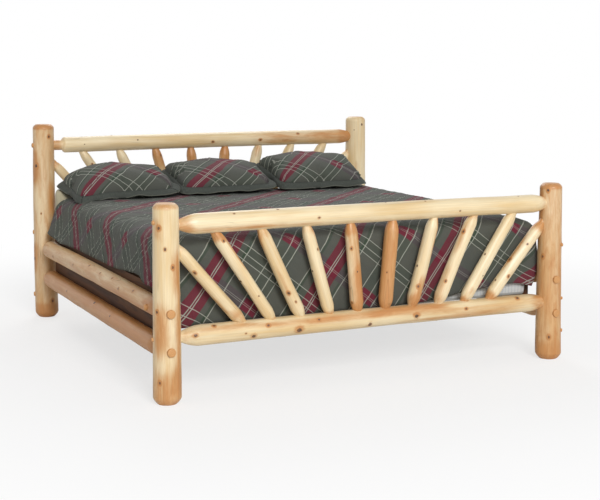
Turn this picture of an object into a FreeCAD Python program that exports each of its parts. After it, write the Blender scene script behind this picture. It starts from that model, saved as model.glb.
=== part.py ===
import FreeCAD, Part
import math
import os
from collections import namedtuple

# A king size rustic log bed, made up with its foundation, mattress, comforter and pillows.
# All lengths are millimetres. The origin is on the floor under the middle of the bed,
# +X points to the right side as seen from the foot, +Y to the head end and +Z up.

Vector = FreeCAD.Vector
PARTS = "parts"
X_AXIS = Vector(1, 0, 0)
Y_AXIS = Vector(0, 1, 0)
Z_AXIS = Vector(0, 0, 1)

# The mattress decides how far apart the posts stand
mattress_width = 1925.0
mattress_length = 2020.0
mattress_height = 225.0
mattress_corner_radius = 65.0
mattress_edge_radius = 28.0
mattress_side_room = 79.0
mattress_end_room = 72.5
mattress_head_shift = 5.0

# Posts: four peeled logs that stand on their butt ends
post_spacing_x = mattress_width + 2 * mattress_side_room
post_spacing_y = mattress_length + 2 * mattress_end_room
foot_post_height = 910.0
head_post_height = 1150.0
foot_left_butt_diameter = 130.0
foot_left_tip_diameter = 115.0
foot_right_butt_diameter = 132.0
foot_right_tip_diameter = 112.0
head_left_butt_diameter = 136.0
head_left_tip_diameter = 124.0
head_right_butt_diameter = 135.0
head_right_tip_diameter = 126.0
post_butt_bevel_height = 32.0
post_butt_bevel_width = 23.0
post_tip_bevel_height = 20.0
post_tip_bevel_width = 16.0
post_bevel_bulge_share = 0.18

# Cross rails of the footboard and the headboard
foot_top_rail_height = 810.0
foot_bottom_rail_height = 299.0
head_top_rail_height = 1025.0
head_bottom_rail_height = head_top_rail_height - foot_top_rail_height + foot_bottom_rail_height
rail_tenon_diameter = 44.0
top_rail_left_diameter = 94.0
top_rail_right_diameter = 92.0
bottom_rail_left_diameter = 96.0
bottom_rail_right_diameter = 88.0
rail_left_taper_length = 84.0
rail_right_taper_length = 92.0
rail_right_taper_sink = 34.0
head_rail_neck_diameter = 60.0
head_rail_neck_length = 46.0
head_rail_step_length = 16.0
rail_core_gap = 7.0

# Spindles fan out from the bottom rail to the top rail
spindles_per_side = 5
fan_overreach = 34.0
fan_waist_share = 0.592
fan_top_pitch = (post_spacing_x / 2 + fan_overreach) / (spindles_per_side - 0.5)
fan_bottom_pitch = fan_top_pitch * fan_waist_share
spindle_tenon_diameter = 38.0
spindle_taper_length = 50.0
spindle_taper_sink = 5.0
spindle_core_gap = 8.0
post_spindle_core_gap = 22.0
spindle_mean_diameter = 62.0
spindle_thickness_shares = (0.95, 0.94, 1.02, 0.98, 1.03, 1.10, 1.05, 1.04, 0.99, 1.01)
spindle_butt_share = 1.04
spindle_tip_share = 0.96

# Side logs: two per side, both flattened inside, where the board lies against them
upper_log_height = 419.0
lower_log_height = 245.0
upper_log_head_diameter = 100.0
upper_log_foot_diameter = 86.0
lower_log_head_diameter = 98.0
lower_log_foot_diameter = 94.0
side_tenon_diameter = 50.0
side_tenon_depth = 32.0
side_taper_length = 70.0
board_seat_offset = 38.5

# Boards, cleats, slats and the centre support
board_thickness = 25.0
board_height = 230.0
board_top_rise = 71.0
board_bottom_height = upper_log_height + board_top_rise - board_height
board_foot_gap = 66.0
board_head_gap = 8.0
board_screw_drop = 7.0
cleat_width = 38.0
cleat_height = 22.0
cleat_rise = 25.0
slat_count = 5
slat_width = 89.0
slat_thickness = 19.0
slat_end_gap = 3.0
slat_first_inset = 95.0
slat_screw_offset = 26.0
beam_width = 38.0
beam_height = 64.0
beam_end_gap = 12.0
leg_width = 45.0
leg_offset_y = -24.0

# Bolts that hold each side log to its posts, and their plugs
bolt_diameter = 10.0
bolt_head_diameter = 20.0
bolt_head_height = 7.0
bolt_end_run = 16.0
washer_diameter = 32.0
washer_thickness = 3.0
nut_diameter = 16.0
nut_length = 34.0
nut_setback = 62.0
plug_diameter = 41.0
plug_pocket_depth = 34.0
plug_head_gap = 2.0
plug_stand_out = 9.0
plug_dome_height = 5.0
plug_dome_share = 0.7

# Wood screws
screw_head_diameter = 9.0
screw_head_height = 4.0
screw_shank_diameter = 5.0
board_screw_length = 60.0
cleat_screw_length = 55.0
slat_screw_length = 38.0
lag_screw_length = 150.0
screws_per_board = 5
screw_end_inset = 60.0

# Bedding
foundation_side_inset = 2.5
foundation_end_inset = 5.0
foundation_width = mattress_width - 2 * foundation_side_inset
foundation_length = mattress_length - 2 * foundation_end_inset
foundation_height = 152.0
foundation_corner_radius = 30.0
comforter_top_loft = 30.0
comforter_side_loft = 27.0
comforter_foot_loft = 26.0
comforter_head_setback = 215.0
comforter_foot_hem_rise = 55.0
comforter_side_hem_rise = 73.0
comforter_foot_hem_height = foot_bottom_rail_height + comforter_foot_hem_rise
comforter_side_hem_height = upper_log_height + comforter_side_hem_rise
comforter_corner_length = 40.0
comforter_corner_radius = 62.0
comforter_side_folds = 7
comforter_foot_folds = 9
comforter_fold_depth = 9.0
comforter_straight_fold_depth = 0.8
# Height of each ring up the drop, how far it is drawn in, and how deep its folds are
comforter_ring_shares = ((0.0, 0.0, 1.0), (0.42, 0.06, 0.7), (0.78, 0.1, 0.35), (0.93, 0.3, 0.0),
                         (0.985, 0.62, 0.0), (1.0, 1.0, 0.0))
comforter_shoulder_inset = 72.0
pillow_count = 3
pillow_gap = 8.0
pillow_left_overhang = 30.0
pillow_right_inset = 80.0
pillow_row_length = mattress_width + pillow_left_overhang - pillow_right_inset
pillow_pitch = (pillow_row_length + pillow_gap) / pillow_count
pillow_width = pillow_pitch - pillow_gap
pillow_depth = 470.0
pillow_thickness = 215.0
pillow_flange_width = 46.0
pillow_flange_thickness = 8.0
pillow_draw_in = 12.0
pillow_corner_radius = 26.0
pillow_tilt_deg = 18.0
pillow_head_gap = 4.0
pillow_front_lift = 6.0
pillow_ring_shares = ((-1.0, 0.2), (-0.95, 0.46), (-0.78, 0.74), (-0.42, 0.93), (0.0, 1.0),
                      (0.42, 0.93), (0.78, 0.74), (0.95, 0.46), (1.0, 0.2))

# Fits
tenon_clearance = 0.2
tenon_end_clearance = 1.0
screw_clearance = 0.2
bolt_clearance = 0.4
plug_clearance = 0.2
soft_clearance = 0.3
cut_overrun = 20.0
taper_bulge_share = 0.66

# A log end that goes into another log: its tenon, then the taper up to the full log
LogEnd = namedtuple("LogEnd", "tenon_radius tenon_length taper_length body_radius")


def arc_or_line(start, end, bulge):
    # An arc from start to end that rises by bulge in the middle
    chord = end - start
    normal = Vector(-chord.z, 0, chord.x)
    normal.normalize()
    middle = (start + end) * 0.5 + normal * bulge
    return Part.Arc(start, middle, end).toShape()


def placed_along(shape, start, end):
    # Moves a shape made up the Z axis so that it runs from start towards end
    turn = FreeCAD.Rotation(Z_AXIS, end - start)
    shape.Placement = FreeCAD.Placement(start, turn)
    return shape


def revolved(edges):
    # A solid turned round the Z axis from edges that go from the axis out and back to it
    face = Part.Face(Part.Wire(edges))
    return face.revolve(Vector(0, 0, 0), Z_AXIS, 360)


def cylinder(start, end, radius):
    solid = Part.makeCylinder(radius, (end - start).Length)
    return placed_along(solid, start, end)


def box(low, high):
    return Part.makeBox(high.x - low.x, high.y - low.y, high.z - low.z, low)


def turned_log(start, end, first, last, grow=0.0, end_grow=0.0):
    # A log with a tenon and a rounded taper at both ends; grow makes the cutter of its mortises
    length = (end - start).Length
    points = [
        (-end_grow, first.tenon_radius + grow),
        (first.tenon_length, first.tenon_radius + grow),
        (first.tenon_length + first.taper_length, first.body_radius + grow),
        (length - last.tenon_length - last.taper_length, last.body_radius + grow),
        (length - last.tenon_length, last.tenon_radius + grow),
        (length + end_grow, last.tenon_radius + grow),
    ]
    outline = [Vector(radius, 0, along) for along, radius in points]
    bottom = Vector(0, 0, -end_grow)
    top = Vector(0, 0, length + end_grow)
    first_rise = (first.body_radius - first.tenon_radius) * (taper_bulge_share - 0.5)
    last_rise = (last.body_radius - last.tenon_radius) * (taper_bulge_share - 0.5)
    edges = [
        Part.makeLine(bottom, outline[0]),
        Part.makeLine(outline[0], outline[1]),
        arc_or_line(outline[1], outline[2], -first_rise),
        Part.makeLine(outline[2], outline[3]),
        arc_or_line(outline[3], outline[4], -last_rise),
        Part.makeLine(outline[4], outline[5]),
        Part.makeLine(outline[5], top),
        Part.makeLine(top, bottom),
    ]
    return placed_along(revolved(edges), start, end)


def mortise_cutter(log):
    start, end, first, last = log
    return turned_log(start, end, first, last, tenon_clearance, tenon_end_clearance)


class Post:
    # One upright log: where it stands, how tall it is and how it tapers
    def __init__(self, x, y, height, butt_diameter, tip_diameter):
        self.x = x
        self.y = y
        self.height = height
        self.butt_radius = butt_diameter / 2
        self.tip_radius = tip_diameter / 2

    def radius_at(self, height):
        return self.butt_radius + (self.tip_radius - self.butt_radius) * height / self.height

    def solid(self):
        tip_z = self.height - post_tip_bevel_height
        points = [
            Vector(self.butt_radius - post_butt_bevel_width, 0, 0),
            Vector(self.butt_radius, 0, post_butt_bevel_height),
            Vector(self.radius_at(tip_z), 0, tip_z),
            Vector(self.tip_radius - post_tip_bevel_width, 0, self.height),
        ]
        top = Vector(0, 0, self.height)
        edges = [
            Part.makeLine(Vector(0, 0, 0), points[0]),
            arc_or_line(points[0], points[1], -post_butt_bevel_width * post_bevel_bulge_share),
            Part.makeLine(points[1], points[2]),
            arc_or_line(points[2], points[3], -post_tip_bevel_width * post_bevel_bulge_share),
            Part.makeLine(points[3], top),
            Part.makeLine(top, Vector(0, 0, 0)),
        ]
        solid = revolved(edges)
        solid.translate(Vector(self.x, self.y, 0))
        return solid


def plug_reach(butt_diameter, tip_diameter, height):
    # How far a lower bolt plug stands out from the axis of its post
    share = lower_log_height / height
    return (butt_diameter + (tip_diameter - butt_diameter) * share) / 2 + plug_stand_out


# The posts are set so that the origin is in the middle of everything that stands out
foot_reach = max(plug_reach(foot_left_butt_diameter, foot_left_tip_diameter, foot_post_height),
                 plug_reach(foot_right_butt_diameter, foot_right_tip_diameter, foot_post_height))
head_reach = max(plug_reach(head_left_butt_diameter, head_left_tip_diameter, head_post_height),
                 plug_reach(head_right_butt_diameter, head_right_tip_diameter, head_post_height))
shift_y = (foot_reach - head_reach) / 2
left_reach = max(foot_left_butt_diameter, head_left_butt_diameter) / 2
right_reach = max(foot_right_butt_diameter, head_right_butt_diameter) / 2
shift_x = (left_reach - right_reach) / 2
left_x = -post_spacing_x / 2 + shift_x
right_x = post_spacing_x / 2 + shift_x
foot_y = -post_spacing_y / 2 + shift_y
head_y = post_spacing_y / 2 + shift_y

posts = {
    "foot_post_left": Post(left_x, foot_y, foot_post_height,
                           foot_left_butt_diameter, foot_left_tip_diameter),
    "foot_post_right": Post(right_x, foot_y, foot_post_height,
                            foot_right_butt_diameter, foot_right_tip_diameter),
    "head_post_left": Post(left_x, head_y, head_post_height,
                           head_left_butt_diameter, head_left_tip_diameter),
    "head_post_right": Post(right_x, head_y, head_post_height,
                            head_right_butt_diameter, head_right_tip_diameter),
}


def cross_rail(end_name, height, left_diameter, right_diameter, neck=False):
    # A rail between the two posts of one end, slim at the left and sunk into the right post
    left = posts[end_name + "_post_left"]
    right = posts[end_name + "_post_right"]
    tenon_radius = rail_tenon_diameter / 2
    left_tenon = left.radius_at(height) - rail_core_gap
    left_taper = rail_left_taper_length
    if neck:
        tenon_radius = head_rail_neck_diameter / 2
        left_tenon = left_tenon + head_rail_neck_length
        left_taper = head_rail_step_length
    right_tenon = right.radius_at(height) - rail_core_gap - rail_right_taper_sink
    start = Vector(left.x + rail_core_gap, left.y, height)
    end = Vector(right.x - rail_core_gap, right.y, height)
    first = LogEnd(tenon_radius, left_tenon, left_taper, left_diameter / 2)
    last = LogEnd(rail_tenon_diameter / 2, right_tenon, rail_right_taper_length, right_diameter / 2)
    return start, end, first, last


def radius_on(log, x):
    # The full radius of a rail at a place along the bed's width
    start, end, first, last = log
    share = (x - start.x) / (end.x - start.x)
    return first.body_radius + (last.body_radius - first.body_radius) * share


def spindle(end_name, number, bottom_rail, top_rail):
    # One spindle of the fan, number 1 at the left; the outermost two go into the posts
    side = -1 if number <= spindles_per_side else 1
    place = spindles_per_side - number if side < 0 else number - spindles_per_side - 1
    bottom_x = side * (place + 0.5) * fan_bottom_pitch
    top_x = side * (place + 0.5) * fan_top_pitch
    rail_y = bottom_rail[0].y
    foot = Vector(bottom_x, rail_y, bottom_rail[0].z)
    head = Vector(top_x, rail_y, top_rail[0].z)
    run = head - foot
    length = run.Length
    direction = run * (1 / length)
    rise = direction.z
    start_s = spindle_core_gap
    first_tenon = radius_on(bottom_rail, bottom_x) / rise - spindle_taper_sink - start_s
    if place < spindles_per_side - 1:
        end_s = length - spindle_core_gap
        last_tenon = radius_on(top_rail, top_x) / rise - spindle_taper_sink - spindle_core_gap
    else:
        post = posts[end_name + ("_post_left" if side < 0 else "_post_right")]
        lean = abs(direction.x)
        reach = abs(post.x) - abs(bottom_x)
        end_s = (reach - post_spindle_core_gap) / lean
        surface_s = (reach - post.radius_at(foot.z + end_s * rise)) / lean
        last_tenon = end_s - surface_s - spindle_taper_sink
    thickness = spindle_mean_diameter * spindle_thickness_shares[number - 1]
    tenon_radius = spindle_tenon_diameter / 2
    first = LogEnd(tenon_radius, first_tenon, spindle_taper_length,
                   thickness * spindle_butt_share / 2)
    last = LogEnd(tenon_radius, last_tenon, spindle_taper_length,
                  thickness * spindle_tip_share / 2)
    return foot + direction * start_s, foot + direction * end_s, first, last


def side_log(side_name, height, foot_diameter, head_diameter):
    # A log along one side, from the foot post to the head post
    foot = posts["foot_post_" + side_name]
    head = posts["head_post_" + side_name]
    start = Vector(foot.x, foot.y + foot.radius_at(height) - side_tenon_depth, height)
    end = Vector(head.x, head.y - head.radius_at(height) + side_tenon_depth, height)
    first = LogEnd(side_tenon_diameter / 2, side_tenon_depth, side_taper_length, foot_diameter / 2)
    last = LogEnd(side_tenon_diameter / 2, side_tenon_depth, side_taper_length, head_diameter / 2)
    return start, end, first, last


def turned_pin(start, direction, sections, grow=0.0):
    # A pin made of coaxial cylinders or cones, each given as (from, to, radius, radius)
    pieces = []
    for low, high, low_radius, high_radius in sections:
        height = high - low
        if low_radius == high_radius:
            piece = Part.makeCylinder(low_radius + grow, height)
        else:
            piece = Part.makeCone(low_radius + grow, high_radius + grow, height)
        piece.translate(Vector(0, 0, low))
        pieces.append(piece)
    solid = pieces[0]
    for piece in pieces[1:]:
        solid = solid.fuse(piece)
    return placed_along(solid.removeSplitter(), start, start + direction)


def screw(start, direction, length, grow=0.0):
    # A countersunk wood screw whose head is flush at start
    sections = [
        (0.0, screw_head_height, screw_head_diameter / 2, screw_shank_diameter / 2),
        (screw_head_height, length + grow, screw_shank_diameter / 2, screw_shank_diameter / 2),
    ]
    return turned_pin(start, direction, sections, grow)


def even_places(low, high, count):
    step = (high - low) / (count - 1)
    return [low + step * index for index in range(count)]


# Where every log lies
rails = {
    "foot_rail_top": cross_rail("foot", foot_top_rail_height, top_rail_left_diameter,
                                top_rail_right_diameter),
    "foot_rail_bottom": cross_rail("foot", foot_bottom_rail_height, bottom_rail_left_diameter,
                                   bottom_rail_right_diameter),
    "head_rail_top": cross_rail("head", head_top_rail_height, top_rail_left_diameter,
                                top_rail_right_diameter, neck=True),
    "head_rail_bottom": cross_rail("head", head_bottom_rail_height, bottom_rail_left_diameter,
                                   bottom_rail_right_diameter),
}
spindles = {}
for end_name in ("foot", "head"):
    for number in range(1, 2 * spindles_per_side + 1):
        spindles[f"{end_name}_spindle_{number}"] = spindle(
            end_name, number, rails[end_name + "_rail_bottom"], rails[end_name + "_rail_top"])
side_logs = {}
for side_name in ("left", "right"):
    side_logs["side_log_upper_" + side_name] = side_log(
        side_name, upper_log_height, upper_log_foot_diameter, upper_log_head_diameter)
    side_logs["side_log_lower_" + side_name] = side_log(
        side_name, lower_log_height, lower_log_foot_diameter, lower_log_head_diameter)

# Bolts: each one starts in a plugged pocket of its post and ends past a barrel nut in the log
bolts = []
washers = []
nuts = []
plugs = {"foot": [], "head": []}
pocket_cutters = {name: [] for name in posts}
bolt_cutters = {name: [] for name in list(posts) + list(side_logs)}
for log_name, (start, end, first, last) in side_logs.items():
    side_name = log_name.split("_")[-1]
    inward_x = X_AXIS if side_name == "left" else -X_AXIS
    for end_name, tip, along in (("foot", start, Y_AXIS), ("head", end, -Y_AXIS)):
        post_name = f"{end_name}_post_{side_name}"
        post = posts[post_name]
        surface = Vector(post.x, post.y, tip.z) - along * post.radius_at(tip.z)
        seat = surface + along * plug_pocket_depth
        nut_centre = tip + along * nut_setback
        bolt_end = nut_centre + along * bolt_end_run
        washer_top = seat - along * washer_thickness
        head_top = washer_top - along * bolt_head_height
        shank = cylinder(washer_top, bolt_end, bolt_diameter / 2)
        head = cylinder(head_top, washer_top, bolt_head_diameter / 2)
        bolts.append(shank.fuse(head).removeSplitter())
        washer_hole = cylinder(washer_top - along * cut_overrun, seat + along * cut_overrun,
                               bolt_diameter / 2 + bolt_clearance)
        washers.append(cylinder(washer_top, seat, washer_diameter / 2).cut(washer_hole))
        nut_half = inward_x * (nut_length / 2)
        nut = cylinder(nut_centre - nut_half, nut_centre + nut_half, nut_diameter / 2)
        nut_hole = cylinder(nut_centre - along * cut_overrun, nut_centre + along * cut_overrun,
                            bolt_diameter / 2 + bolt_clearance)
        nuts.append(nut.cut(nut_hole))
        plug_inner = head_top - along * plug_head_gap
        plug_length = (surface - plug_inner).Length + plug_stand_out - plug_dome_height
        sections = [
            (0.0, plug_length, plug_diameter / 2, plug_diameter / 2),
            (plug_length, plug_length + plug_dome_height, plug_diameter / 2,
             plug_diameter / 2 * plug_dome_share),
        ]
        plugs[end_name].append(turned_pin(plug_inner, -along, sections))
        pocket_cutters[post_name].append(
            cylinder(surface - along * cut_overrun, seat, plug_diameter / 2 + plug_clearance))
        bore = cylinder(seat - along * cut_overrun, bolt_end + along * bolt_end_run,
                        bolt_diameter / 2 + bolt_clearance)
        bolt_cutters[post_name].append(bore)
        bolt_cutters[log_name].append(bore)
        bore_start = nut_centre - nut_half
        bore_end = nut_centre + inward_x * (first.body_radius + cut_overrun)
        bolt_cutters[log_name].append(
            cylinder(bore_start, bore_end, nut_diameter / 2 + bolt_clearance))


# Boards inside the upper logs, with a cleat along the bottom that carries the slats
board_face_x = post_spacing_x / 2 - board_seat_offset
board_inner_x = board_face_x - board_thickness
board_low_y = foot_y + foot_left_butt_diameter / 2 + board_foot_gap
board_high_y = head_y - head_left_butt_diameter / 2 - board_head_gap
cleat_bottom = board_bottom_height + cleat_rise
cleat_top = cleat_bottom + cleat_height
slat_top = cleat_top + slat_thickness
slat_half_length = board_inner_x - slat_end_gap
beam_low_y = board_low_y + beam_end_gap
beam_high_y = board_high_y - beam_end_gap
slat_places = even_places(board_low_y + slat_first_inset, board_high_y - slat_first_inset,
                          slat_count)
screw_places = even_places(board_low_y + screw_end_inset, board_high_y - screw_end_inset,
                           screws_per_board)
sides = (("left", -1), ("right", 1))
nodes = {}
screw_cutters = {name: [] for name in ("board_left", "board_right", "cleat_left", "cleat_right",
                                       "log_left", "log_right", "slats", "beam", "leg")}
board_screws = []
cleat_screws = []
slat_screws = []
board_screw_height = upper_log_height - board_screw_drop
for side_name, side in sides:
    outward = X_AXIS * side
    for y in screw_places:
        start = Vector(side * board_inner_x, y, board_screw_height)
        board_screws.append(screw(start, outward, board_screw_length))
        hole = screw(start, outward, board_screw_length, screw_clearance)
        screw_cutters["board_" + side_name].append(hole)
        screw_cutters["log_" + side_name].append(hole)
        start = Vector(side * (board_inner_x - cleat_width), y, cleat_top - cleat_height / 2)
        cleat_screws.append(screw(start, outward, cleat_screw_length))
        hole = screw(start, outward, cleat_screw_length, screw_clearance)
        screw_cutters["board_" + side_name].append(hole)
        screw_cutters["cleat_" + side_name].append(hole)
for y in slat_places:
    for side in (-1, 0, 1):
        start = Vector(side * (board_inner_x - cleat_width / 2), y + slat_screw_offset, slat_top)
        slat_screws.append(screw(start, -Z_AXIS, slat_screw_length))
        hole = screw(start, -Z_AXIS, slat_screw_length, screw_clearance)
        screw_cutters["slats"].append(hole)
        target = {-1: "cleat_left", 0: "beam", 1: "cleat_right"}[side]
        screw_cutters[target].append(hole)
lag_start = Vector(0, leg_offset_y, cleat_top)
leg_screw = screw(lag_start, -Z_AXIS, lag_screw_length)
lag_hole = screw(lag_start, -Z_AXIS, lag_screw_length, screw_clearance)
screw_cutters["beam"].append(lag_hole)
screw_cutters["leg"].append(lag_hole)


def side_board(side_name, side):
    inner = side * board_inner_x
    face = side * board_face_x
    board = box(Vector(min(inner, face), board_low_y, board_bottom_height),
                Vector(max(inner, face), board_high_y, board_bottom_height + board_height))
    return board.cut(screw_cutters["board_" + side_name])


def slat_cleat(side_name, side):
    outer = side * board_inner_x
    inner = side * (board_inner_x - cleat_width)
    cleat = box(Vector(min(inner, outer), board_low_y, cleat_bottom),
                Vector(max(inner, outer), board_high_y, cleat_top))
    return cleat.cut(screw_cutters["cleat_" + side_name])


def slat(y):
    plank = box(Vector(-slat_half_length, y - slat_width / 2, cleat_top),
                Vector(slat_half_length, y + slat_width / 2, slat_top))
    return plank.cut(screw_cutters["slats"])


def centre_beam():
    beam = box(Vector(-beam_width / 2, beam_low_y, cleat_top - beam_height),
               Vector(beam_width / 2, beam_high_y, cleat_top))
    return beam.cut(screw_cutters["beam"])


def centre_leg():
    leg = box(Vector(-leg_width / 2, leg_offset_y - leg_width / 2, 0),
              Vector(leg_width / 2, leg_offset_y + leg_width / 2, cleat_top - beam_height))
    return leg.cut(screw_cutters["leg"])


# Bedding heights, from the slats up
mattress_low_y = mattress_head_shift - mattress_length / 2
mattress_high_y = mattress_head_shift + mattress_length / 2
mattress_bottom = slat_top + foundation_height
mattress_top = mattress_bottom + mattress_height
comforter_top = mattress_top + comforter_top_loft
comforter_head_edge = mattress_high_y - comforter_head_setback


def foundation_half(side):
    # One of the two halves that stand side by side under a king size mattress
    low_x = min(0, side * foundation_width / 2)
    low = Vector(low_x, mattress_head_shift - foundation_length / 2, slat_top)
    high = low + Vector(foundation_width / 2, foundation_length, foundation_height)
    block = box(low, high)
    outer = [edge for edge in block.Edges if abs(edge.tangentAt(edge.FirstParameter).z) > 0.5
             and abs(edge.BoundBox.Center.x) > foundation_width / 4]
    return block.makeFillet(foundation_corner_radius, outer)


def mattress_block(grow=0.0):
    low = Vector(-mattress_width / 2 - grow, mattress_low_y - grow, mattress_bottom - grow)
    high = Vector(mattress_width / 2 + grow, mattress_high_y + grow, mattress_top + grow)
    block = box(low, high)
    upright = [edge for edge in block.Edges if abs(edge.tangentAt(edge.FirstParameter).z) > 0.5]
    block = block.makeFillet(mattress_corner_radius + grow, upright)
    level = [edge for edge in block.Edges
             if abs(edge.BoundBox.ZMax - high.z) < soft_clearance / 2
             and edge.BoundBox.ZLength < soft_clearance / 2]
    return block.makeFillet(mattress_edge_radius + grow, level)


def fold_run(start, end, count, depth, outward):
    # Edges from start to end that swell outward in count soft folds
    step = (end - start) * (1 / count)
    edges = []
    for index in range(count):
        low = start + step * index
        high = start + step * (index + 1)
        crest = (low + high) * 0.5 + outward * depth
        edges.append(Part.Arc(low, crest, high).toShape())
    return edges


def comforter_ring(height_share, inset_share, fold_share):
    # The outline of the comforter seen from above, at one height of its drop
    z = comforter_foot_hem_height + (comforter_top - comforter_foot_hem_height) * height_share
    inset = comforter_shoulder_inset * inset_share
    depth = comforter_straight_fold_depth + comforter_fold_depth * fold_share
    half_x = mattress_width / 2 + comforter_side_loft - inset
    low_y = mattress_low_y - comforter_foot_loft + inset
    radius = comforter_corner_radius
    corner_run = radius * (1 - math.sqrt(0.5))
    head_left = Vector(-half_x, comforter_head_edge, z)
    side_left = Vector(-half_x, low_y + radius, z)
    foot_left = Vector(-half_x + radius, low_y, z)
    foot_right = Vector(half_x - radius, low_y, z)
    side_right = Vector(half_x, low_y + radius, z)
    head_right = Vector(half_x, comforter_head_edge, z)
    middle_left = Vector(-half_x + corner_run, low_y + corner_run, z)
    middle_right = Vector(half_x - corner_run, low_y + corner_run, z)
    edges = fold_run(head_left, side_left, comforter_side_folds, depth, -X_AXIS)
    edges.append(Part.Arc(side_left, middle_left, foot_left).toShape())
    edges += fold_run(foot_left, foot_right, comforter_foot_folds, depth, -Y_AXIS)
    edges.append(Part.Arc(foot_right, middle_right, side_right).toShape())
    edges += fold_run(side_right, head_right, comforter_side_folds, depth, X_AXIS)
    edges.append(Part.makeLine(head_right, head_left))
    return Part.Wire(edges)


def comforter():
    # A padded cover over the mattress that hangs down both sides and the foot end
    rings = [comforter_ring(*shares) for shares in comforter_ring_shares]
    cover = Part.makeLoft(rings, True, True)
    hollow = mattress_block(soft_clearance)
    below = box(Vector(-mattress_width / 2 - soft_clearance, mattress_low_y - soft_clearance,
                       comforter_foot_hem_height - cut_overrun),
                Vector(mattress_width / 2 + soft_clearance, mattress_high_y,
                       mattress_bottom + mattress_edge_radius))
    upright = [edge for edge in below.Edges if abs(edge.tangentAt(edge.FirstParameter).z) > 0.5]
    below = below.makeFillet(foundation_corner_radius + soft_clearance, upright)
    cover = cover.cut(hollow).cut(below)
    side_low_y = mattress_low_y + comforter_corner_length
    for side in (-1, 1):
        near = side * (mattress_width / 2 - comforter_corner_radius)
        far = side * (mattress_width / 2 + comforter_side_loft + cut_overrun)
        cover = cover.cut(box(
            Vector(min(near, far), side_low_y, comforter_foot_hem_height - cut_overrun),
            Vector(max(near, far), mattress_high_y, comforter_side_hem_height)))
    return cover


def pillow_outline(width, depth, draw_in, radius, z):
    # A four sided outline with drawn in sides and small round corners
    half_x = width / 2
    half_y = depth / 2
    corner_run = radius * (1 - math.sqrt(0.5))
    edges = []
    for quarter in range(4):
        turn = FreeCAD.Rotation(Z_AXIS, 90 * quarter)
        long_half, wide_half = (half_x, half_y) if quarter % 2 == 0 else (half_y, half_x)
        start = Vector(-long_half + radius, -wide_half, z)
        middle = Vector(0, -wide_half + draw_in, z)
        end = Vector(long_half - radius, -wide_half, z)
        corner = Vector(long_half - corner_run, -wide_half + corner_run, z)
        corner_end = Vector(long_half, -wide_half + radius, z)
        edges.append(Part.Arc(*[turn.multVec(p) for p in (start, middle, end)]).toShape())
        edges.append(Part.Arc(*[turn.multVec(p) for p in (end, corner, corner_end)]).toShape())
    return Part.Wire(edges)


def pillow(centre_x):
    # A pillow in a flanged sham that leans back, flat only where it rests on the comforter
    inner_width = pillow_width - 2 * pillow_flange_width
    inner_depth = pillow_depth - 2 * pillow_flange_width
    rings = []
    for rise_share, size_share in pillow_ring_shares:
        rings.append(pillow_outline(inner_width * size_share, inner_depth * size_share,
                                    pillow_draw_in * size_share, pillow_corner_radius * size_share,
                                    rise_share * pillow_thickness / 2))
    body = Part.makeLoft(rings, True, True)
    rim = pillow_outline(pillow_width, pillow_depth, pillow_draw_in, pillow_corner_radius,
                         -pillow_flange_thickness / 2)
    flange = Part.Face(rim).extrude(Vector(0, 0, pillow_flange_thickness))
    solid = body.fuse(flange)
    tilt = math.radians(pillow_tilt_deg)
    rest_z = comforter_top + soft_clearance
    centre_y = mattress_high_y - pillow_head_gap - pillow_depth / 2 * math.cos(tilt)
    centre_z = rest_z + pillow_front_lift + pillow_depth / 2 * math.sin(tilt)
    turn = FreeCAD.Rotation(X_AXIS, pillow_tilt_deg)
    solid.Placement = FreeCAD.Placement(Vector(centre_x, centre_y, centre_z), turn)
    under = box(Vector(centre_x - pillow_width, centre_y - pillow_depth, rest_z - pillow_thickness),
                Vector(centre_x + pillow_width, centre_y + pillow_depth, rest_z))
    return solid.cut(under)


# Cut the joints and gather every node
for name, post in posts.items():
    end_name, _, side_name = name.split("_")
    cutters = [mortise_cutter(rails[f"{end_name}_rail_{place}"]) for place in ("top", "bottom")]
    cutters += [mortise_cutter(side_logs[f"side_log_{place}_{side_name}"])
                for place in ("upper", "lower")]
    outer_number = 1 if side_name == "left" else 2 * spindles_per_side
    cutters.append(mortise_cutter(spindles[f"{end_name}_spindle_{outer_number}"]))
    cutters += pocket_cutters[name] + bolt_cutters[name]
    nodes[name] = post.solid().cut(cutters)
for name, log in rails.items():
    end_name = name.split("_")[0]
    rail = turned_log(*log)
    cutters = [mortise_cutter(spindles[f"{end_name}_spindle_{number}"])
               for number in range(1, 2 * spindles_per_side + 1)]
    nodes[name] = rail.cut(cutters)
for name, log in spindles.items():
    nodes[name] = turned_log(*log)
for name, log in side_logs.items():
    side_name = name.split("_")[-1]
    side = -1 if side_name == "left" else 1
    flat = box(Vector(min(0, side * board_face_x), -post_spacing_y, 0),
               Vector(max(0, side * board_face_x), post_spacing_y, post_spacing_x / 2))
    body = turned_log(*log).cut(bolt_cutters[name]).cut(flat)
    if "upper" in name:
        body = body.cut(screw_cutters["log_" + side_name])
    nodes[name] = body
for side_name, side in sides:
    nodes["side_board_" + side_name] = side_board(side_name, side)
    nodes["slat_cleat_" + side_name] = slat_cleat(side_name, side)
    nodes["foundation_" + side_name] = foundation_half(side)
for index, y in enumerate(slat_places):
    nodes[f"slat_{index + 1}"] = slat(y)
nodes["centre_beam"] = centre_beam()
nodes["centre_leg"] = centre_leg()
nodes["leg_lag_screw"] = leg_screw
nodes["bed_bolts"] = Part.makeCompound(bolts)
nodes["bolt_washers"] = Part.makeCompound(washers)
nodes["barrel_nuts"] = Part.makeCompound(nuts)
nodes["foot_bolt_plugs"] = Part.makeCompound(plugs["foot"])
nodes["head_bolt_plugs"] = Part.makeCompound(plugs["head"])
nodes["board_screws"] = Part.makeCompound(board_screws)
nodes["cleat_screws"] = Part.makeCompound(cleat_screws)
nodes["slat_screws"] = Part.makeCompound(slat_screws)
nodes["mattress"] = mattress_block()
nodes["comforter"] = comforter()
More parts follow.
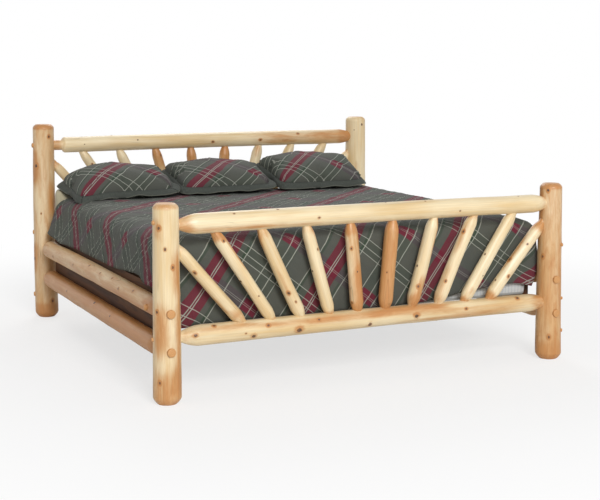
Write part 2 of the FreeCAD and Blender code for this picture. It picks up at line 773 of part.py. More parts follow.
first_pillow_x = -mattress_width / 2 - pillow_left_overhang + pillow_width / 2
for index, pillow_name in enumerate(("left", "middle", "right")):
    nodes["pillow_" + pillow_name] = pillow(first_pillow_x + index * pillow_pitch)

os.makedirs(PARTS, exist_ok=True)
for name, shape in nodes.items():
    shape.exportStep(os.path.join(PARTS, name + ".step"))
    count = len(shape.Solids)
    print(f"{name:24s} solids {count:2d} valid {shape.isValid()} volume {shape.Volume / 1e6:9.3f} l")
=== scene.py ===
import bisect
import math
import random

import bmesh
import bpy
from bmesh.types import BMEdge, BMFace, BMVert
from mathutils import Matrix, Vector, noise


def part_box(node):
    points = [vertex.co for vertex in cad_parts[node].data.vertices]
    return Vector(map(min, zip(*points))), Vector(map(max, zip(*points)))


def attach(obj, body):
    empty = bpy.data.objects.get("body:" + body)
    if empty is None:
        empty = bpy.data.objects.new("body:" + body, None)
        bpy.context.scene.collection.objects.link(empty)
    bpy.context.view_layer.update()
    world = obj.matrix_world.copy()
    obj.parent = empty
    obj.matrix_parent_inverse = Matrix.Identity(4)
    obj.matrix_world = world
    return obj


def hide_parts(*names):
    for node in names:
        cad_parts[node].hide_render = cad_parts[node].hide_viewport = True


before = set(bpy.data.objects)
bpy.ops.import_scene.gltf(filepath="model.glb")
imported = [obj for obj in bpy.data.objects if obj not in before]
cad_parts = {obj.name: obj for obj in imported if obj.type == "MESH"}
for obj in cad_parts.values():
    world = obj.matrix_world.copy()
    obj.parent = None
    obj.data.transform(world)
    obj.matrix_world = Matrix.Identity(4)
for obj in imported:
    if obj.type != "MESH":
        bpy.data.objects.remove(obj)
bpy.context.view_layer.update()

# The studio: a white floor under soft lamps, seen from the foot end and the left, a little
# above the pillows. Lengths are metres; +X is the right side and +Y the head end.
camera_place = Vector((-2.95, -6.552, 1.586))
camera_turn_deg = 25.18
camera_dip_deg = 6.11
camera_lens_mm = 78.3
camera_sensor_mm = 36
camera_shift_y = -0.10
camera = bpy.data.objects.new("studio_camera", bpy.data.cameras.new("studio_camera"))
bpy.context.collection.objects.link(camera)
camera.location = camera_place
camera.rotation_euler = (math.radians(90 - camera_dip_deg), 0, math.radians(-camera_turn_deg))
camera.data.lens = camera_lens_mm
camera.data.sensor_width = camera_sensor_mm
camera.data.shift_y = camera_shift_y
bpy.context.scene.camera = camera
bpy.context.scene.view_settings.view_transform = "Standard"


def srgb(red, green, blue):
    """A colour as a paint chart gives it, 0 to 255, as Blender's linear light"""
    return tuple(c / 12.92 if c <= 0.04045 else ((c + 0.055) / 1.055) ** 2.4
                 for c in (red / 255, green / 255, blue / 255)) + (1.0,)


class Tone:
    """A socket of a material's nodes, so that sums on it read as sums"""

    def __init__(self, tree, socket=None):
        self.tree = tree
        self.socket = socket

    def node(self, kind, sockets=None, out=0, **settings):
        made = self.tree.nodes.new("ShaderNode" + kind)
        for name, value in settings.items():
            setattr(made, name, value)
        for key, value in (sockets or {}).items():
            if isinstance(value, Tone):
                self.tree.links.new(value.socket, made.inputs[key])
            else:
                made.inputs[key].default_value = value
        return Tone(self.tree, made.outputs[out])

    def math(self, operation, *others):
        return self.node("Math", dict(enumerate((self,) + others)), operation=operation)

    def vector(self, operation, *others, out=0):
        sockets = dict(enumerate((self,) + others))
        return self.node("VectorMath", sockets, out, operation=operation)

    def __add__(self, other):
        return self.math("ADD", other)

    def __sub__(self, other):
        return self.math("SUBTRACT", other)

    def __rsub__(self, other):
        return self.node("Math", {0: other, 1: self}, operation="SUBTRACT")

    def __mul__(self, other):
        return self.math("MULTIPLY", other)

    def __truediv__(self, other):
        return self.math("DIVIDE", other)

    __radd__ = __add__
    __rmul__ = __mul__

    def step(self, low, high):
        """0 below low, 1 above high, smooth between"""
        return self.node("MapRange", {0: self, 1: low, 2: high}, interpolation_type="SMOOTHSTEP")

    def clamp(self):
        return self.node("Clamp", {0: self})

    def mix(self, first, second, blend_type="MIX"):
        """The second colour over the first where this socket is 1"""
        return self.node("Mix", {0: self, 6: first, 7: second}, out=2,
                         data_type="RGBA", blend_type=blend_type)

    def noise(self, scale, detail=3.0, roughness=0.55, distortion=0.0, out=0):
        sockets = {"Vector": self, "Scale": scale, "Detail": detail, "Roughness": roughness,
                   "Distortion": distortion}
        return self.node("TexNoise", sockets, out)

    def stretch(self, x, y, z):
        return self.node("Mapping", {"Vector": self, "Scale": (x, y, z)})

    def parts(self):
        """Its three numbers, such as the X, Y and Z of a place"""
        outputs = self.node("SeparateXYZ", {0: self}).socket.node.outputs
        return [Tone(self.tree, output) for output in outputs]

    def place(self):
        """Where a point lies, in metres, in the frame that all pieces share"""
        return self.node("TexCoord", out="Object")

    def layer(self, name, out="Fac"):
        return self.node("Attribute", out=out, attribute_name=name)


def finish(name, paint, **constants):
    """A Principled material; paint gives its colour, roughness and relief from the nodes"""
    material = bpy.data.materials.new(name)
    material.use_nodes = True
    tree = material.node_tree
    surface = tree.nodes["Principled BSDF"]
    color, roughness, relief, depth = paint(Tone(tree))
    tree.links.new(color.socket, surface.inputs["Base Color"])
    if isinstance(roughness, Tone):
        tree.links.new(roughness.socket, surface.inputs["Roughness"])
    else:
        surface.inputs["Roughness"].default_value = roughness
    if relief is not None:
        bump = relief.node("Bump", {"Height": relief, "Distance": depth, "Strength": 1.0})
        tree.links.new(bump.socket, surface.inputs["Normal"])
    for key, value in constants.items():
        surface.inputs[key.replace("_", " ")].default_value = value
    return material


floor_half = 14.0
white_beside_bed = 0.68
white_from, white_full = 1.6, 4.0
room_light = 0.32
floor_mesh = bmesh.new()
bmesh.ops.create_grid(floor_mesh, x_segments=1, y_segments=1, size=floor_half)
floor_data = bpy.data.meshes.new("studio_floor")
floor_mesh.to_mesh(floor_data)
floor_mesh.free()
studio_floor = bpy.data.objects.new("studio_floor", floor_data)
bpy.context.collection.objects.link(studio_floor)
paper = bpy.data.materials.new("studio_paper")
paper.use_nodes = True
paper_nodes = paper.node_tree.nodes
paper_surface = paper_nodes["Principled BSDF"]
paper_surface.inputs["Base Color"].default_value = srgb(250, 250, 250)
paper_surface.inputs["Roughness"].default_value = 0.9
paper_tone = Tone(paper.node_tree)
paper_light = paper_tone.node("Emission", {"Color": srgb(255, 255, 255), "Strength": 1.0})
paper_far = paper_tone.place().vector("LENGTH", out="Value").step(white_from, white_full)
paper_seen = (paper_tone.node("LightPath", out="Is Camera Ray")
              * (white_beside_bed + (1 - white_beside_bed) * paper_far))
paper_mixed = paper_tone.node("MixShader", {
    0: paper_seen, 1: Tone(paper.node_tree, paper_surface.outputs[0]), 2: paper_light})
paper.node_tree.links.new(paper_mixed.socket, paper_nodes["Material Output"].inputs["Surface"])
floor_data.materials.append(paper)

world = bpy.data.worlds.new("studio_world")
world.use_nodes = True
bpy.context.scene.world = world
world_tone = Tone(world.node_tree)
seen = world_tone.node("LightPath", out="Is Camera Ray")
mirrored = world_tone.node("LightPath", out="Is Glossy Ray")
world_strength = (seen + mirrored).clamp() * (1 - room_light) + room_light
backdrop = world.node_tree.nodes["Background"].inputs
backdrop["Color"].default_value = srgb(255, 255, 255)
world.node_tree.links.new(world_strength.socket, backdrop["Strength"])


def soft_lamp(name, place, target, size, power):
    lamp = bpy.data.objects.new(name, bpy.data.lights.new(name, "AREA"))
    bpy.context.collection.objects.link(lamp)
    lamp.location = place
    lamp.rotation_euler = (Vector(target) - Vector(place)).to_track_quat("-Z", "Y").to_euler()
    lamp.data.size = size
    lamp.data.energy = power


soft_lamp("key_lamp", (-2.0, -12.8, 7.2), (0, -0.2, 0.5), 4.8, 1320)
soft_lamp("fill_lamp", (-5.2, -0.6, 3.4), (0, 0, 0.5), 3.0, 12)
soft_lamp("back_lamp", (1.5, 5.0, 4.6), (0, 0.4, 0.5), 3.0, 110)

# Posts: four white cedar logs, peeled by hand, that stand on their butts. Each butt and top
# is bevelled, and cut branches show as knots and stubs under a satin clear coat.
foot_post_height = 0.910
head_post_height = 1.150
post_butt_bevel = (0.032, 0.023)
post_tip_bevel = (0.020, 0.016)
bevel_bulge_share = 0.18
chance_knot_pitch = 0.16
knot_size_share = 0.62
knot_length_share = 1.3
knot_reach = 4.0
no_knot = (9, 9)
chance_knot_size = (0.003, 0.0055)
chance_knot_rise = 0.0010
slow_unevenness = 0.0016
quick_unevenness = 0.0007
cap_ring_insets = (0.16, 0.3, 0.3)
stub_root_share = 1.4
stub_tip_share = 0.92
stub_rim_share = 0.3
stub_middle_share = 0.18
pale_wood = srgb(243, 226, 188)
cream_wood = srgb(224, 194, 142)
tan_wood = srgb(211, 162, 106)
orange_wood = srgb(194, 134, 76)
knot_brown = srgb(120, 78, 46)
knot_dark = srgb(66, 44, 28)


def peeled_wood(tone):
    """Clear coated cedar: pale sapwood, tan patches of inner bark, knots, checks and end grain; the
    tan layer also darkens a few logs as painted shade and lightens others as painted light
    """
    grain = tone.layer("grain", "Vector")
    tan, cut = tone.layer("tan"), tone.layer("cut")
    knot = tone.node("UVMap", uv_map="knot")
    broad = grain.stretch(9, 9, 2.2).noise(1.0, 2.0)
    streak = grain.stretch(70, 70, 2.6).noise(1.0, 4.0, 0.6)
    fibre = grain.stretch(260, 260, 7).noise(1.0, 3.0, 0.6)
    edge = grain.stretch(34, 34, 7).noise(1.0, 4.0, 0.65, 0.6)
    wobble = grain.noise(70.0, 2.0, 0.5, out=1).vector("SUBTRACT", (0.5, 0.5, 0.5))
    bent = knot.vector("ADD", wobble.vector("MULTIPLY", (0.9, 0.9, 0.9)))
    far = bent.vector("LENGTH", out="Value")
    core = 1.0 - far.step(0.72, 1.05)
    ring = far.step(0.55, 0.9) * (1.0 - far.step(0.95, 1.4))
    heart = 1.0 - far.step(0.15, 0.5)
    halo = 1.0 - far.step(1.0, 2.6)
    patch = tan + (edge - 0.5) * 0.7 + (broad - 0.5) * 0.4 + halo * 0.5 + cut * 0.35
    patch = patch.step(0.12, 0.85)
    base = (broad * 0.9 + streak * 0.6).step(0.55, 1.0).mix(pale_wood, cream_wood)
    warm = (streak * 0.8 + edge * 0.6 + tan * 0.3 + halo * 0.35).step(0.62, 1.15)
    warm = warm.mix(tan_wood, orange_wood)
    color = patch.mix(base, warm)
    lines = (fibre * 0.6 + streak * 0.4).step(0.34, 0.62)
    color = (0.16 * (1.0 - lines)).mix(color, knot_brown)
    band = grain.stretch(16, 16, 0.9).noise(1.0, 2.0)
    hair = 1.0 - (band - 0.5).math("ABSOLUTE").step(0.001, 0.004)
    gate = grain.stretch(5, 5, 2.4).noise(1.0, 1.0).step(0.56, 0.62)
    check = hair * gate * (1.0 - cut)
    color = (check * 0.30).mix(color, knot_dark)
    out, across, _ = grain.parts()
    pith = (out * out + across * across).math("SQRT")
    rings = ((pith + broad * 0.006) * 900.0).math("SINE") * 0.5 + 0.5
    ends = (rings * 0.55 + 0.2).mix(tan_wood, orange_wood)
    color = (cut.step(0.35, 0.75) * 0.85).mix(color, ends)
    core_shade = grain.noise(14.0, 2.0, 0.5).step(0.4, 0.62).mix(knot_dark, knot_brown)
    core_color = (heart * 0.75 + ring * 0.35).clamp().mix(core_shade, knot_dark)
    color = (core * 0.92).mix(color, core_color)
    roughness = 0.40 + streak * 0.12 + check * 0.3 + cut * 0.15
    relief = streak * 0.5 + fibre * 0.25 - check * 0.9 - ring * 0.8 - core * heart * 0.8
    return color, roughness, relief, 0.0007


peeled_log_finish = finish("peeled_cedar", peeled_wood, Coat_Weight=0.22, Coat_Roughness=0.28)


def smooth_step(low, high, value):
    share = min(max((value - low) / (high - low), 0.0), 1.0)
    return share * share * (3 - 2 * share)


def bulged(share, bulge_share):
    """A rise from 0 to 1 that swells above the straight line in its middle"""
    return share + 4 * bulge_share * share * (1 - share)


def log_axes(start, end):
    axis = (end - start).normalized()
    reference = Vector((1, 0, 0)) if abs(axis.z) > 0.5 else Vector((0, 0, 1))
    side = (reference - axis * reference.dot(axis)).normalized()
    return axis, side, axis.cross(side)


def turn_between(first, second):
    return (first - second + math.pi) % (2 * math.pi) - math.pi


def rings_along(length, near_start, near_end, fine, coarse):
    """Where the rings of a log go: close together near its two ends"""
    places = [0.0]
    while places[-1] < length:
        here = places[-1]
        places.append(here + (fine if here < near_start or here > length - near_end else coarse))
    places[-1] = length
    if places[-1] - places[-2] < fine / 2:
        del places[-2]
    return places


def keep_layers(bm):
    return (bm.verts.layers.float_vector.new("grain"), bm.verts.layers.float.new("tan"),
            bm.verts.layers.float.new("cut"), bm.loops.layers.uv.new("knot"))


def from_knot(spot, s, angle, radius):
    """How far round and along the log a point lies from a knot, as shares of the knot's size"""
    knot_s, knot_angle, size, _ = spot
    return (turn_between(angle, knot_angle) * radius / size,
            (s - knot_s) / knot_length_share / size)


def round_edges(bm, edges, width, segments):
    bmesh.ops.bevel(bm, geom=edges, offset=width, segments=segments, profile=0.5,
                    affect="EDGES", material=-1)


def whole(bm):
    return list(bm.verts) + list(bm.edges) + list(bm.faces)


def only(kind, geom):
    return [part for part in geom if isinstance(part, kind)]


def lay_piece(bm, name, material, node_name, body):
    """Makes the mesh an object that rides on its body and stands for its CAD node"""
    for face in bm.faces:
        face.smooth = True
    data = bpy.data.meshes.new(name)
    bm.to_mesh(data)
    bm.free()
    piece = bpy.data.objects.new(name, data)
    bpy.context.collection.objects.link(piece)
    data.materials.append(material)
    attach(piece, body)
    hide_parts(node_name)
    return piece


def peel_log(name, start, end, radius_at, places, segments, offset, look,
             dome=(0.004, 0.004), unround=0.012, flat=None):
    """One peeled log as a mesh, with its knots, stubs, tan patches and a slight bow"""
    axis, side, across = log_axes(start, end)
    length = (end - start).length
    count = len(places)
    rng = random.Random("peeled_" + name)
    grain_offset = Vector((offset * 1.7, offset * 3.1, offset * 7.3))
    phases = [rng.uniform(0, 2 * math.pi) for _ in range(3)]
    view = (start + end) / 2 - camera_place
    spots = [(s, math.radians(angle), size * knot_size_share, rise)
             for s, angle, size, rise in look["knots"]]
    # The knots of the side that the photograph shows are listed; chance gives those behind.
    for _ in range(int(length / chance_knot_pitch)):
        angle = rng.uniform(-math.pi, math.pi)
        facing = side * math.cos(angle) + across * math.sin(angle)
        spot = (rng.uniform(0.08, 0.92) * length, angle, rng.uniform(*chance_knot_size),
                chance_knot_rise)
        if facing.dot(view) > 0.1 * view.length:
            spots.append(spot)
    first_tan, first_run, last_tan, last_run = look.get("ends", (0, 1, 0, 1))
    bm = bmesh.new()
    bmesh.ops.create_cone(bm, cap_ends=True, segments=segments, radius1=1, radius2=1, depth=1)
    long_edges = [e for e in bm.edges if abs(e.verts[0].co.z - e.verts[1].co.z) > 0.5]
    caps = [f for f in bm.faces if len(f.verts) > 4]
    bmesh.ops.subdivide_edges(bm, edges=long_edges, cuts=count - 2)
    for cap in caps:
        for inset in cap_ring_insets:
            bmesh.ops.inset_individual(bm, faces=[cap], thickness=inset, depth=0)
    bmesh.ops.poke(bm, faces=caps)
    grain, tan, cut, knot_map = keep_layers(bm)
    polar = {}
    for v in bm.verts:
        share = min(math.hypot(v.co.x, v.co.y), 1.0)
        angle = math.atan2(v.co.y, v.co.x)
        s = places[round((v.co.z + 0.5) * (count - 1))]
        radius = radius_at(s)
        ring = Vector((math.cos(angle), math.sin(angle), 0))
        relief = radius * unround * (math.cos(2 * angle + phases[0])
                                     + 0.5 * math.cos(3 * angle + phases[1]))
        for uneven, round_it, along_it in ((slow_unevenness, 1.6, 5), (quick_unevenness, 4, 14)):
            spread = Vector((ring.x * round_it, ring.y * round_it, s * along_it))
            relief += uneven * noise.noise(spread + grain_offset)
        for spot in spots:
            far = math.hypot(*from_knot(spot, s, angle, radius))
            if far < 5:
                relief += spot[3] * (0.55 * math.exp(-far * far / 5)
                                     + 0.45 * (1 - smooth_step(0.7, 1.3, far)))
        amount = look["tan"]
        for patch_s, patch_angle, reach, reach_angle, strength in look["patches"]:
            along = (s - patch_s) / reach
            turn = turn_between(angle, math.radians(patch_angle)) / math.radians(reach_angle)
            amount += strength * math.exp(-along ** 4 - turn * turn)
        amount += first_tan * (1 - smooth_step(0.5 * first_run, first_run, s))
        amount += last_tan * (1 - smooth_step(0.5 * last_run, last_run, length - s))
        bow_side, bow_across = (bow * math.sin(math.pi * s / length) for bow in look["bow"])
        centre = start + axis * s + side * bow_side + across * bow_across
        at_cap = share < 0.999
        if at_cap:
            rise = (1 - share * share) * dome[1 if v.co.z > 0 else 0]
            centre += axis * (rise if v.co.z > 0 else -rise)
        wall = share * (radius + relief)
        polar[v.index] = (angle, s)
        v[grain] = ring * (share * radius) + Vector((0, 0, s)) + grain_offset
        v[tan] = amount
        v[cut] = 1.0 if at_cap else 0.0
        v.co = centre + side * (ring.x * wall) + across * (ring.y * wall)
    bm.verts.index_update()
    for face in bm.faces:
        around = [polar[v.index] for v in face.verts]
        first_angle = around[0][0]
        turned = sum(turn_between(angle, first_angle) for angle, s in around) / len(around)
        middle_angle, middle_s = first_angle + turned, sum(s for angle, s in around) / len(around)
        radius = radius_at(middle_s)
        far, nearest = min(((math.hypot(*from_knot(spot, middle_s, middle_angle, radius)), spot)
                            for spot in spots), default=(knot_reach, None))
        for loop in face.loops:
            angle, s = polar[loop.vert.index]
            loop[knot_map].uv = (from_knot(nearest, s, angle, radius) if far < knot_reach
                                 else no_knot)
    for s, angle, stub_radius, height in look.get("stubs", ()):
        outward = side * math.cos(math.radians(angle)) + across * math.sin(math.radians(angle))
        old = set(bm.verts)
        place = start + axis * s + outward * (radius_at(s) + height * stub_middle_share)
        made = bmesh.ops.create_cone(bm, cap_ends=True, segments=14, depth=height,
                                     radius1=stub_radius * stub_root_share,
                                     radius2=stub_radius * stub_tip_share)["verts"]
        rim = {e for v in made for e in v.link_edges if all(w.co.z > 0 for w in e.verts)}
        round_edges(bm, list(rim), min(stub_radius, height) * stub_rim_share, 2)
        turn = outward.to_track_quat("Z", "Y").to_matrix()
        for v in bm.verts:
            if v not in old:
                v[grain] = v.co + grain_offset * 1.3
                v[tan] = 0.8
                v[cut] = 1.0 if v.co.z > 0.35 * height else 0.0
                v.co = place + turn @ v.co
                for loop in v.link_loops:
                    loop[knot_map].uv = no_knot
    if flat is not None:
        cut_open = bmesh.ops.bisect_plane(bm, geom=whole(bm), plane_co=flat[0], plane_no=flat[1],
                                          clear_outer=True)["geom_cut"]
        bmesh.ops.holes_fill(bm, edges=only(BMEdge, cut_open))
    lay_piece(bm, "peeled_" + name, peeled_log_finish, name, "bed")


def post_radius(height, butt_radius, tip_radius):
    butt_rise, butt_width = post_butt_bevel
    tip_rise, tip_width = post_tip_bevel

    def radius_at(s):
        body = butt_radius + (tip_radius - butt_radius) * s / height
        if s < butt_rise:
            return butt_radius - butt_width * (1 - bulged(s / butt_rise, bevel_bulge_share))
        if s > height - tip_rise:
            share = (height - s) / tip_rise
            return body - tip_width * (1 - bulged(share, bevel_bulge_share))
        return body
    return radius_at


# Each log's look: tan says how much inner bark it kept all over, and on a few logs it is also
# raised as painted shade and on others lowered as painted light, as noted there; bow says how far
# its middle stands off. A knot is (place along it, angle, size, rise), a patch (place, angle,
# reach along, reach round, strength) and a stub (place, angle, radius, height). On a post -90
# faces the foot end.
post_looks = {
    "foot_post_left": dict(
        height=foot_post_height, butt=0.130, tip=0.115, bow=(0.002, 0.003), tan=0.1,
        knots=[(0.805, -140, 0.011, 0.003), (0.711, -113, 0.0085, 0.001),
               (0.628, -80, 0.010, 0.0025), (0.427, -152, 0.009, 0.002),
               (0.108, -140, 0.009, 0.002), (0.50, -20, 0.008, 0.002)],
        patches=[(0.60, -66, 0.10, 24, 0.5), (0.34, -142, 0.13, 42, 0.75),
                 (0.05, -110, 0.12, 150, 0.6), (0.45, -45, 0.32, 16, 0.55),
                 (0.905, -90, 0.02, 400, 0.5), (0.80, -150, 0.05, 30, 0.5),
                 (0.25, -60, 0.2, 20, 0.4)],
        stubs=[(0.826, -176, 0.009, 0.011), (0.296, 168, 0.0085, 0.011)]),
    "foot_post_right": dict(
        height=foot_post_height, butt=0.132, tip=0.112, bow=(-0.002, 0.002), tan=0.62,
        knots=[(0.878, -141, 0.0095, 0.003), (0.537, -158, 0.0095, 0.0025),
               (0.122, -122, 0.0105, 0.003), (0.60, -40, 0.008, 0.003)],
        patches=[(0.02, -110, 0.07, 200, 0.4), (0.80, 175, 0.08, 18, 0.5),
                 (0.34, -60, 0.16, 16, 0.3), (0.905, -90, 0.02, 400, 0.4)],
        stubs=[(0.595, -50, 0.008, 0.012), (0.316, -38, 0.007, 0.010),
               (0.148, -38, 0.008, 0.010)]),
    # Its tan of 0.5 darkens this post, partly inner bark and partly painted shade for the weaker
    # lamp light at the head end.
    "head_post_left": dict(
        height=head_post_height, butt=0.136, tip=0.124, bow=(-0.003, 0.002), tan=0.5,
        knots=[(1.081, -74, 0.010, 0.002), (0.908, -145, 0.014, 0.004),
               (0.626, -121, 0.005, 0.001), (0.353, -170, 0.013, 0.003),
               (0.10, -74, 0.012, 0.003)],
        patches=[(0.90, -165, 0.10, 26, 0.6), (0.36, -172, 0.08, 26, 0.6),
                 (0.02, -110, 0.06, 200, 0.7), (1.145, -90, 0.02, 400, 0.7),
                 (0.72, -60, 0.1, 20, 0.35)],
        stubs=[(1.027, 176, 0.012, 0.012), (0.51, 170, 0.012, 0.012),
               (0.137, 170, 0.012, 0.012)]),
    # Its tan of -0.2 makes this post paler, as painted light against the weaker lamp light at the
    # head end.
    "head_post_right": dict(
        height=head_post_height, butt=0.135, tip=0.126, bow=(0.002, 0.001), tan=-0.2,
        knots=[(1.102, -76, 0.012, 0.003), (1.067, -125, 0.005, 0.001)],
        patches=[(1.145, -90, 0.022, 400, 0.5), (0.02, -110, 0.06, 200, 0.5),
                 (0.83, -110, 0.05, 20, 0.6)],
        stubs=[]),
}
post_centres = {name: sum(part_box(name), Vector()) / 2 for name in post_looks}
for index, (name, look) in enumerate(post_looks.items()):
    x, y, _ = post_centres[name]
    height = look["height"]
    peel_log(name, Vector((x, y, 0)), Vector((x, y, height)),
             post_radius(height, look["butt"] / 2, look["tip"] / 2),
             rings_along(height, 0.05, 0.04, 0.004, 0.0075), 60, 1.0 + index, look,
             dome=(0.0, 0.001))

# Cross rails: a top and a bottom log between the two posts of each end. The left end is
# drawn down to a tenon, the right end goes thick into a scribed pocket of its post.
rail_tenon_radius = 0.022
rail_core_gap = 0.007
rail_left_taper = 0.084
rail_right_taper = 0.092
rail_right_sink = 0.034
head_neck_radius = 0.030
head_neck_length = 0.046
head_neck_step = 0.016
taper_bulge_share = 0.16


def tapered_radius(length, first, last):
    """A log between two tenons; each end is (tenon radius, tenon length, taper, log radius)"""
    def radius_at(s):
        radius = first[3] + (last[3] - first[3]) * s / length
        for (tenon, run, taper, _), here in ((first, s), (last, length - s)):
            if here < run:
                return tenon
            if here < run + taper:
                return tenon + (radius - tenon) * bulged((here - run) / taper, taper_bulge_share)
        return radius
    return radius_at


def post_radius_at(name, z):
    look = post_looks[name]
    return (look["butt"] + (look["tip"] - look["butt"]) * z / look["height"]) / 2


def rail_ends(end_name, z):
    """Where a cross rail starts in the left post and ends in the right one"""
    left, right = (post_centres[f"{end_name}_post_{side_name}"] for side_name in ("left", "right"))
    return (Vector((left.x + rail_core_gap, left.y, z)),
            Vector((right.x - rail_core_gap, right.y, z)))


# The ends of a look: how much more tan the first end has and over what length, then the last.
rail_looks = {
    "foot_rail_top": dict(
        z=0.810, left=0.094, right=0.092, bow=(0.004, 0.002), tan=0.0,
        ends=(0.55, 0.15, 0.5, 0.10),
        knots=[(0.311, 37, 0.0065, 0.001), (0.532, 22, 0.0075, 0.001), (0.731, 93, 0.0085, 0.002),
               (1.103, 12, 0.006, 0.001), (1.319, 23, 0.006, 0.001), (1.502, 104, 0.006, 0.001),
               (1.864, 19, 0.006, 0.001)],
        patches=[(0.30, 120, 0.22, 26, 0.55), (1.0, 135, 0.8, 16, 0.25),
                 (0.62, 125, 0.2, 14, 0.3)]),
    "foot_rail_bottom": dict(
        z=0.299, left=0.096, right=0.088, bow=(0.003, -0.002), tan=0.12,
        ends=(0.25, 0.12, 0.5, 0.16),
        knots=[(0.115, 79, 0.011, 0.003), (0.211, 33, 0.009, 0.002), (0.36, 96, 0.005, 0.001),
               (0.40, 117, 0.014, 0.004), (0.474, 64, 0.009, 0.002), (0.63, 107, 0.019, 0.005),
               (0.735, 60, 0.008, 0.002), (1.006, 118, 0.016, 0.005), (1.263, 95, 0.015, 0.004),
               (1.547, 79, 0.008, 0.002), (1.86, 40, 0.010, 0.003)],
        patches=[(0.27, 48, 0.17, 20, 0.6), (0.62, 60, 0.2, 22, 0.5), (0.95, 60, 0.25, 24, 0.55),
                 (1.25, 40, 0.25, 40, 0.5), (1.55, 70, 0.35, 50, 0.25), (1.85, 60, 0.22, 60, 0.1),
                 (1.45, 125, 0.3, 20, 0.5), (1.62, 52, 0.18, 9, -0.9), (1.2, 110, 0.3, 12, -0.5)]),
    # Its tan of -0.2 makes this rail paler, as painted light against the weaker lamp light at the
    # head end.
    "head_rail_top": dict(
        z=1.025, left=0.094, right=0.092, bow=(0.003, 0.002), tan=-0.2,
        ends=(0.9, 0.14, 0.6, 0.16),
        knots=[(0.229, 88, 0.005, 0.001), (0.561, 69, 0.008, 0.002), (0.406, 10, 0.007, 0.003),
               (1.05, 101, 0.0085, 0.002), (1.372, 97, 0.009, 0.002), (1.638, 56, 0.008, 0.002)],
        patches=[(1.25, 60, 0.42, 60, 0.4), (1.70, 80, 0.36, 70, 0.55), (1.92, 90, 0.2, 150, 0.4),
                 (1.2, 120, 0.4, 20, 0.3)]),
    "head_rail_bottom": dict(
        z=0.514, left=0.096, right=0.088, bow=(0.003, -0.002), tan=0.15,
        ends=(0.4, 0.12, 0.5, 0.12),
        knots=[(0.4, 100, 0.012, 0.003), (1.1, 70, 0.012, 0.003), (1.6, 110, 0.012, 0.003)],
        patches=[(0.6, 60, 0.3, 50, 0.5), (1.5, -80, 0.3, 50, 0.5)]),
}
for index, (name, look) in enumerate(rail_looks.items()):
    end_name = name.split("_")[0]
    left, right = end_name + "_post_left", end_name + "_post_right"
    z = look["z"]
    start, end = rail_ends(end_name, z)
    tenon, run, taper = rail_tenon_radius, post_radius_at(left, z) - rail_core_gap, rail_left_taper
    if name == "head_rail_top":
        tenon, run, taper = head_neck_radius, run + head_neck_length, head_neck_step
    sunk = post_radius_at(right, z) - rail_core_gap - rail_right_sink
    first = (tenon, run, taper, look["left"] / 2)
    last = (rail_tenon_radius, sunk, rail_right_taper, look["right"] / 2)
    length = end.x - start.x
    peel_log(name, start, end, tapered_radius(length, first, last),
             rings_along(length, 0.15, 0.13, 0.005, 0.009), 48, 6.0 + index, look)

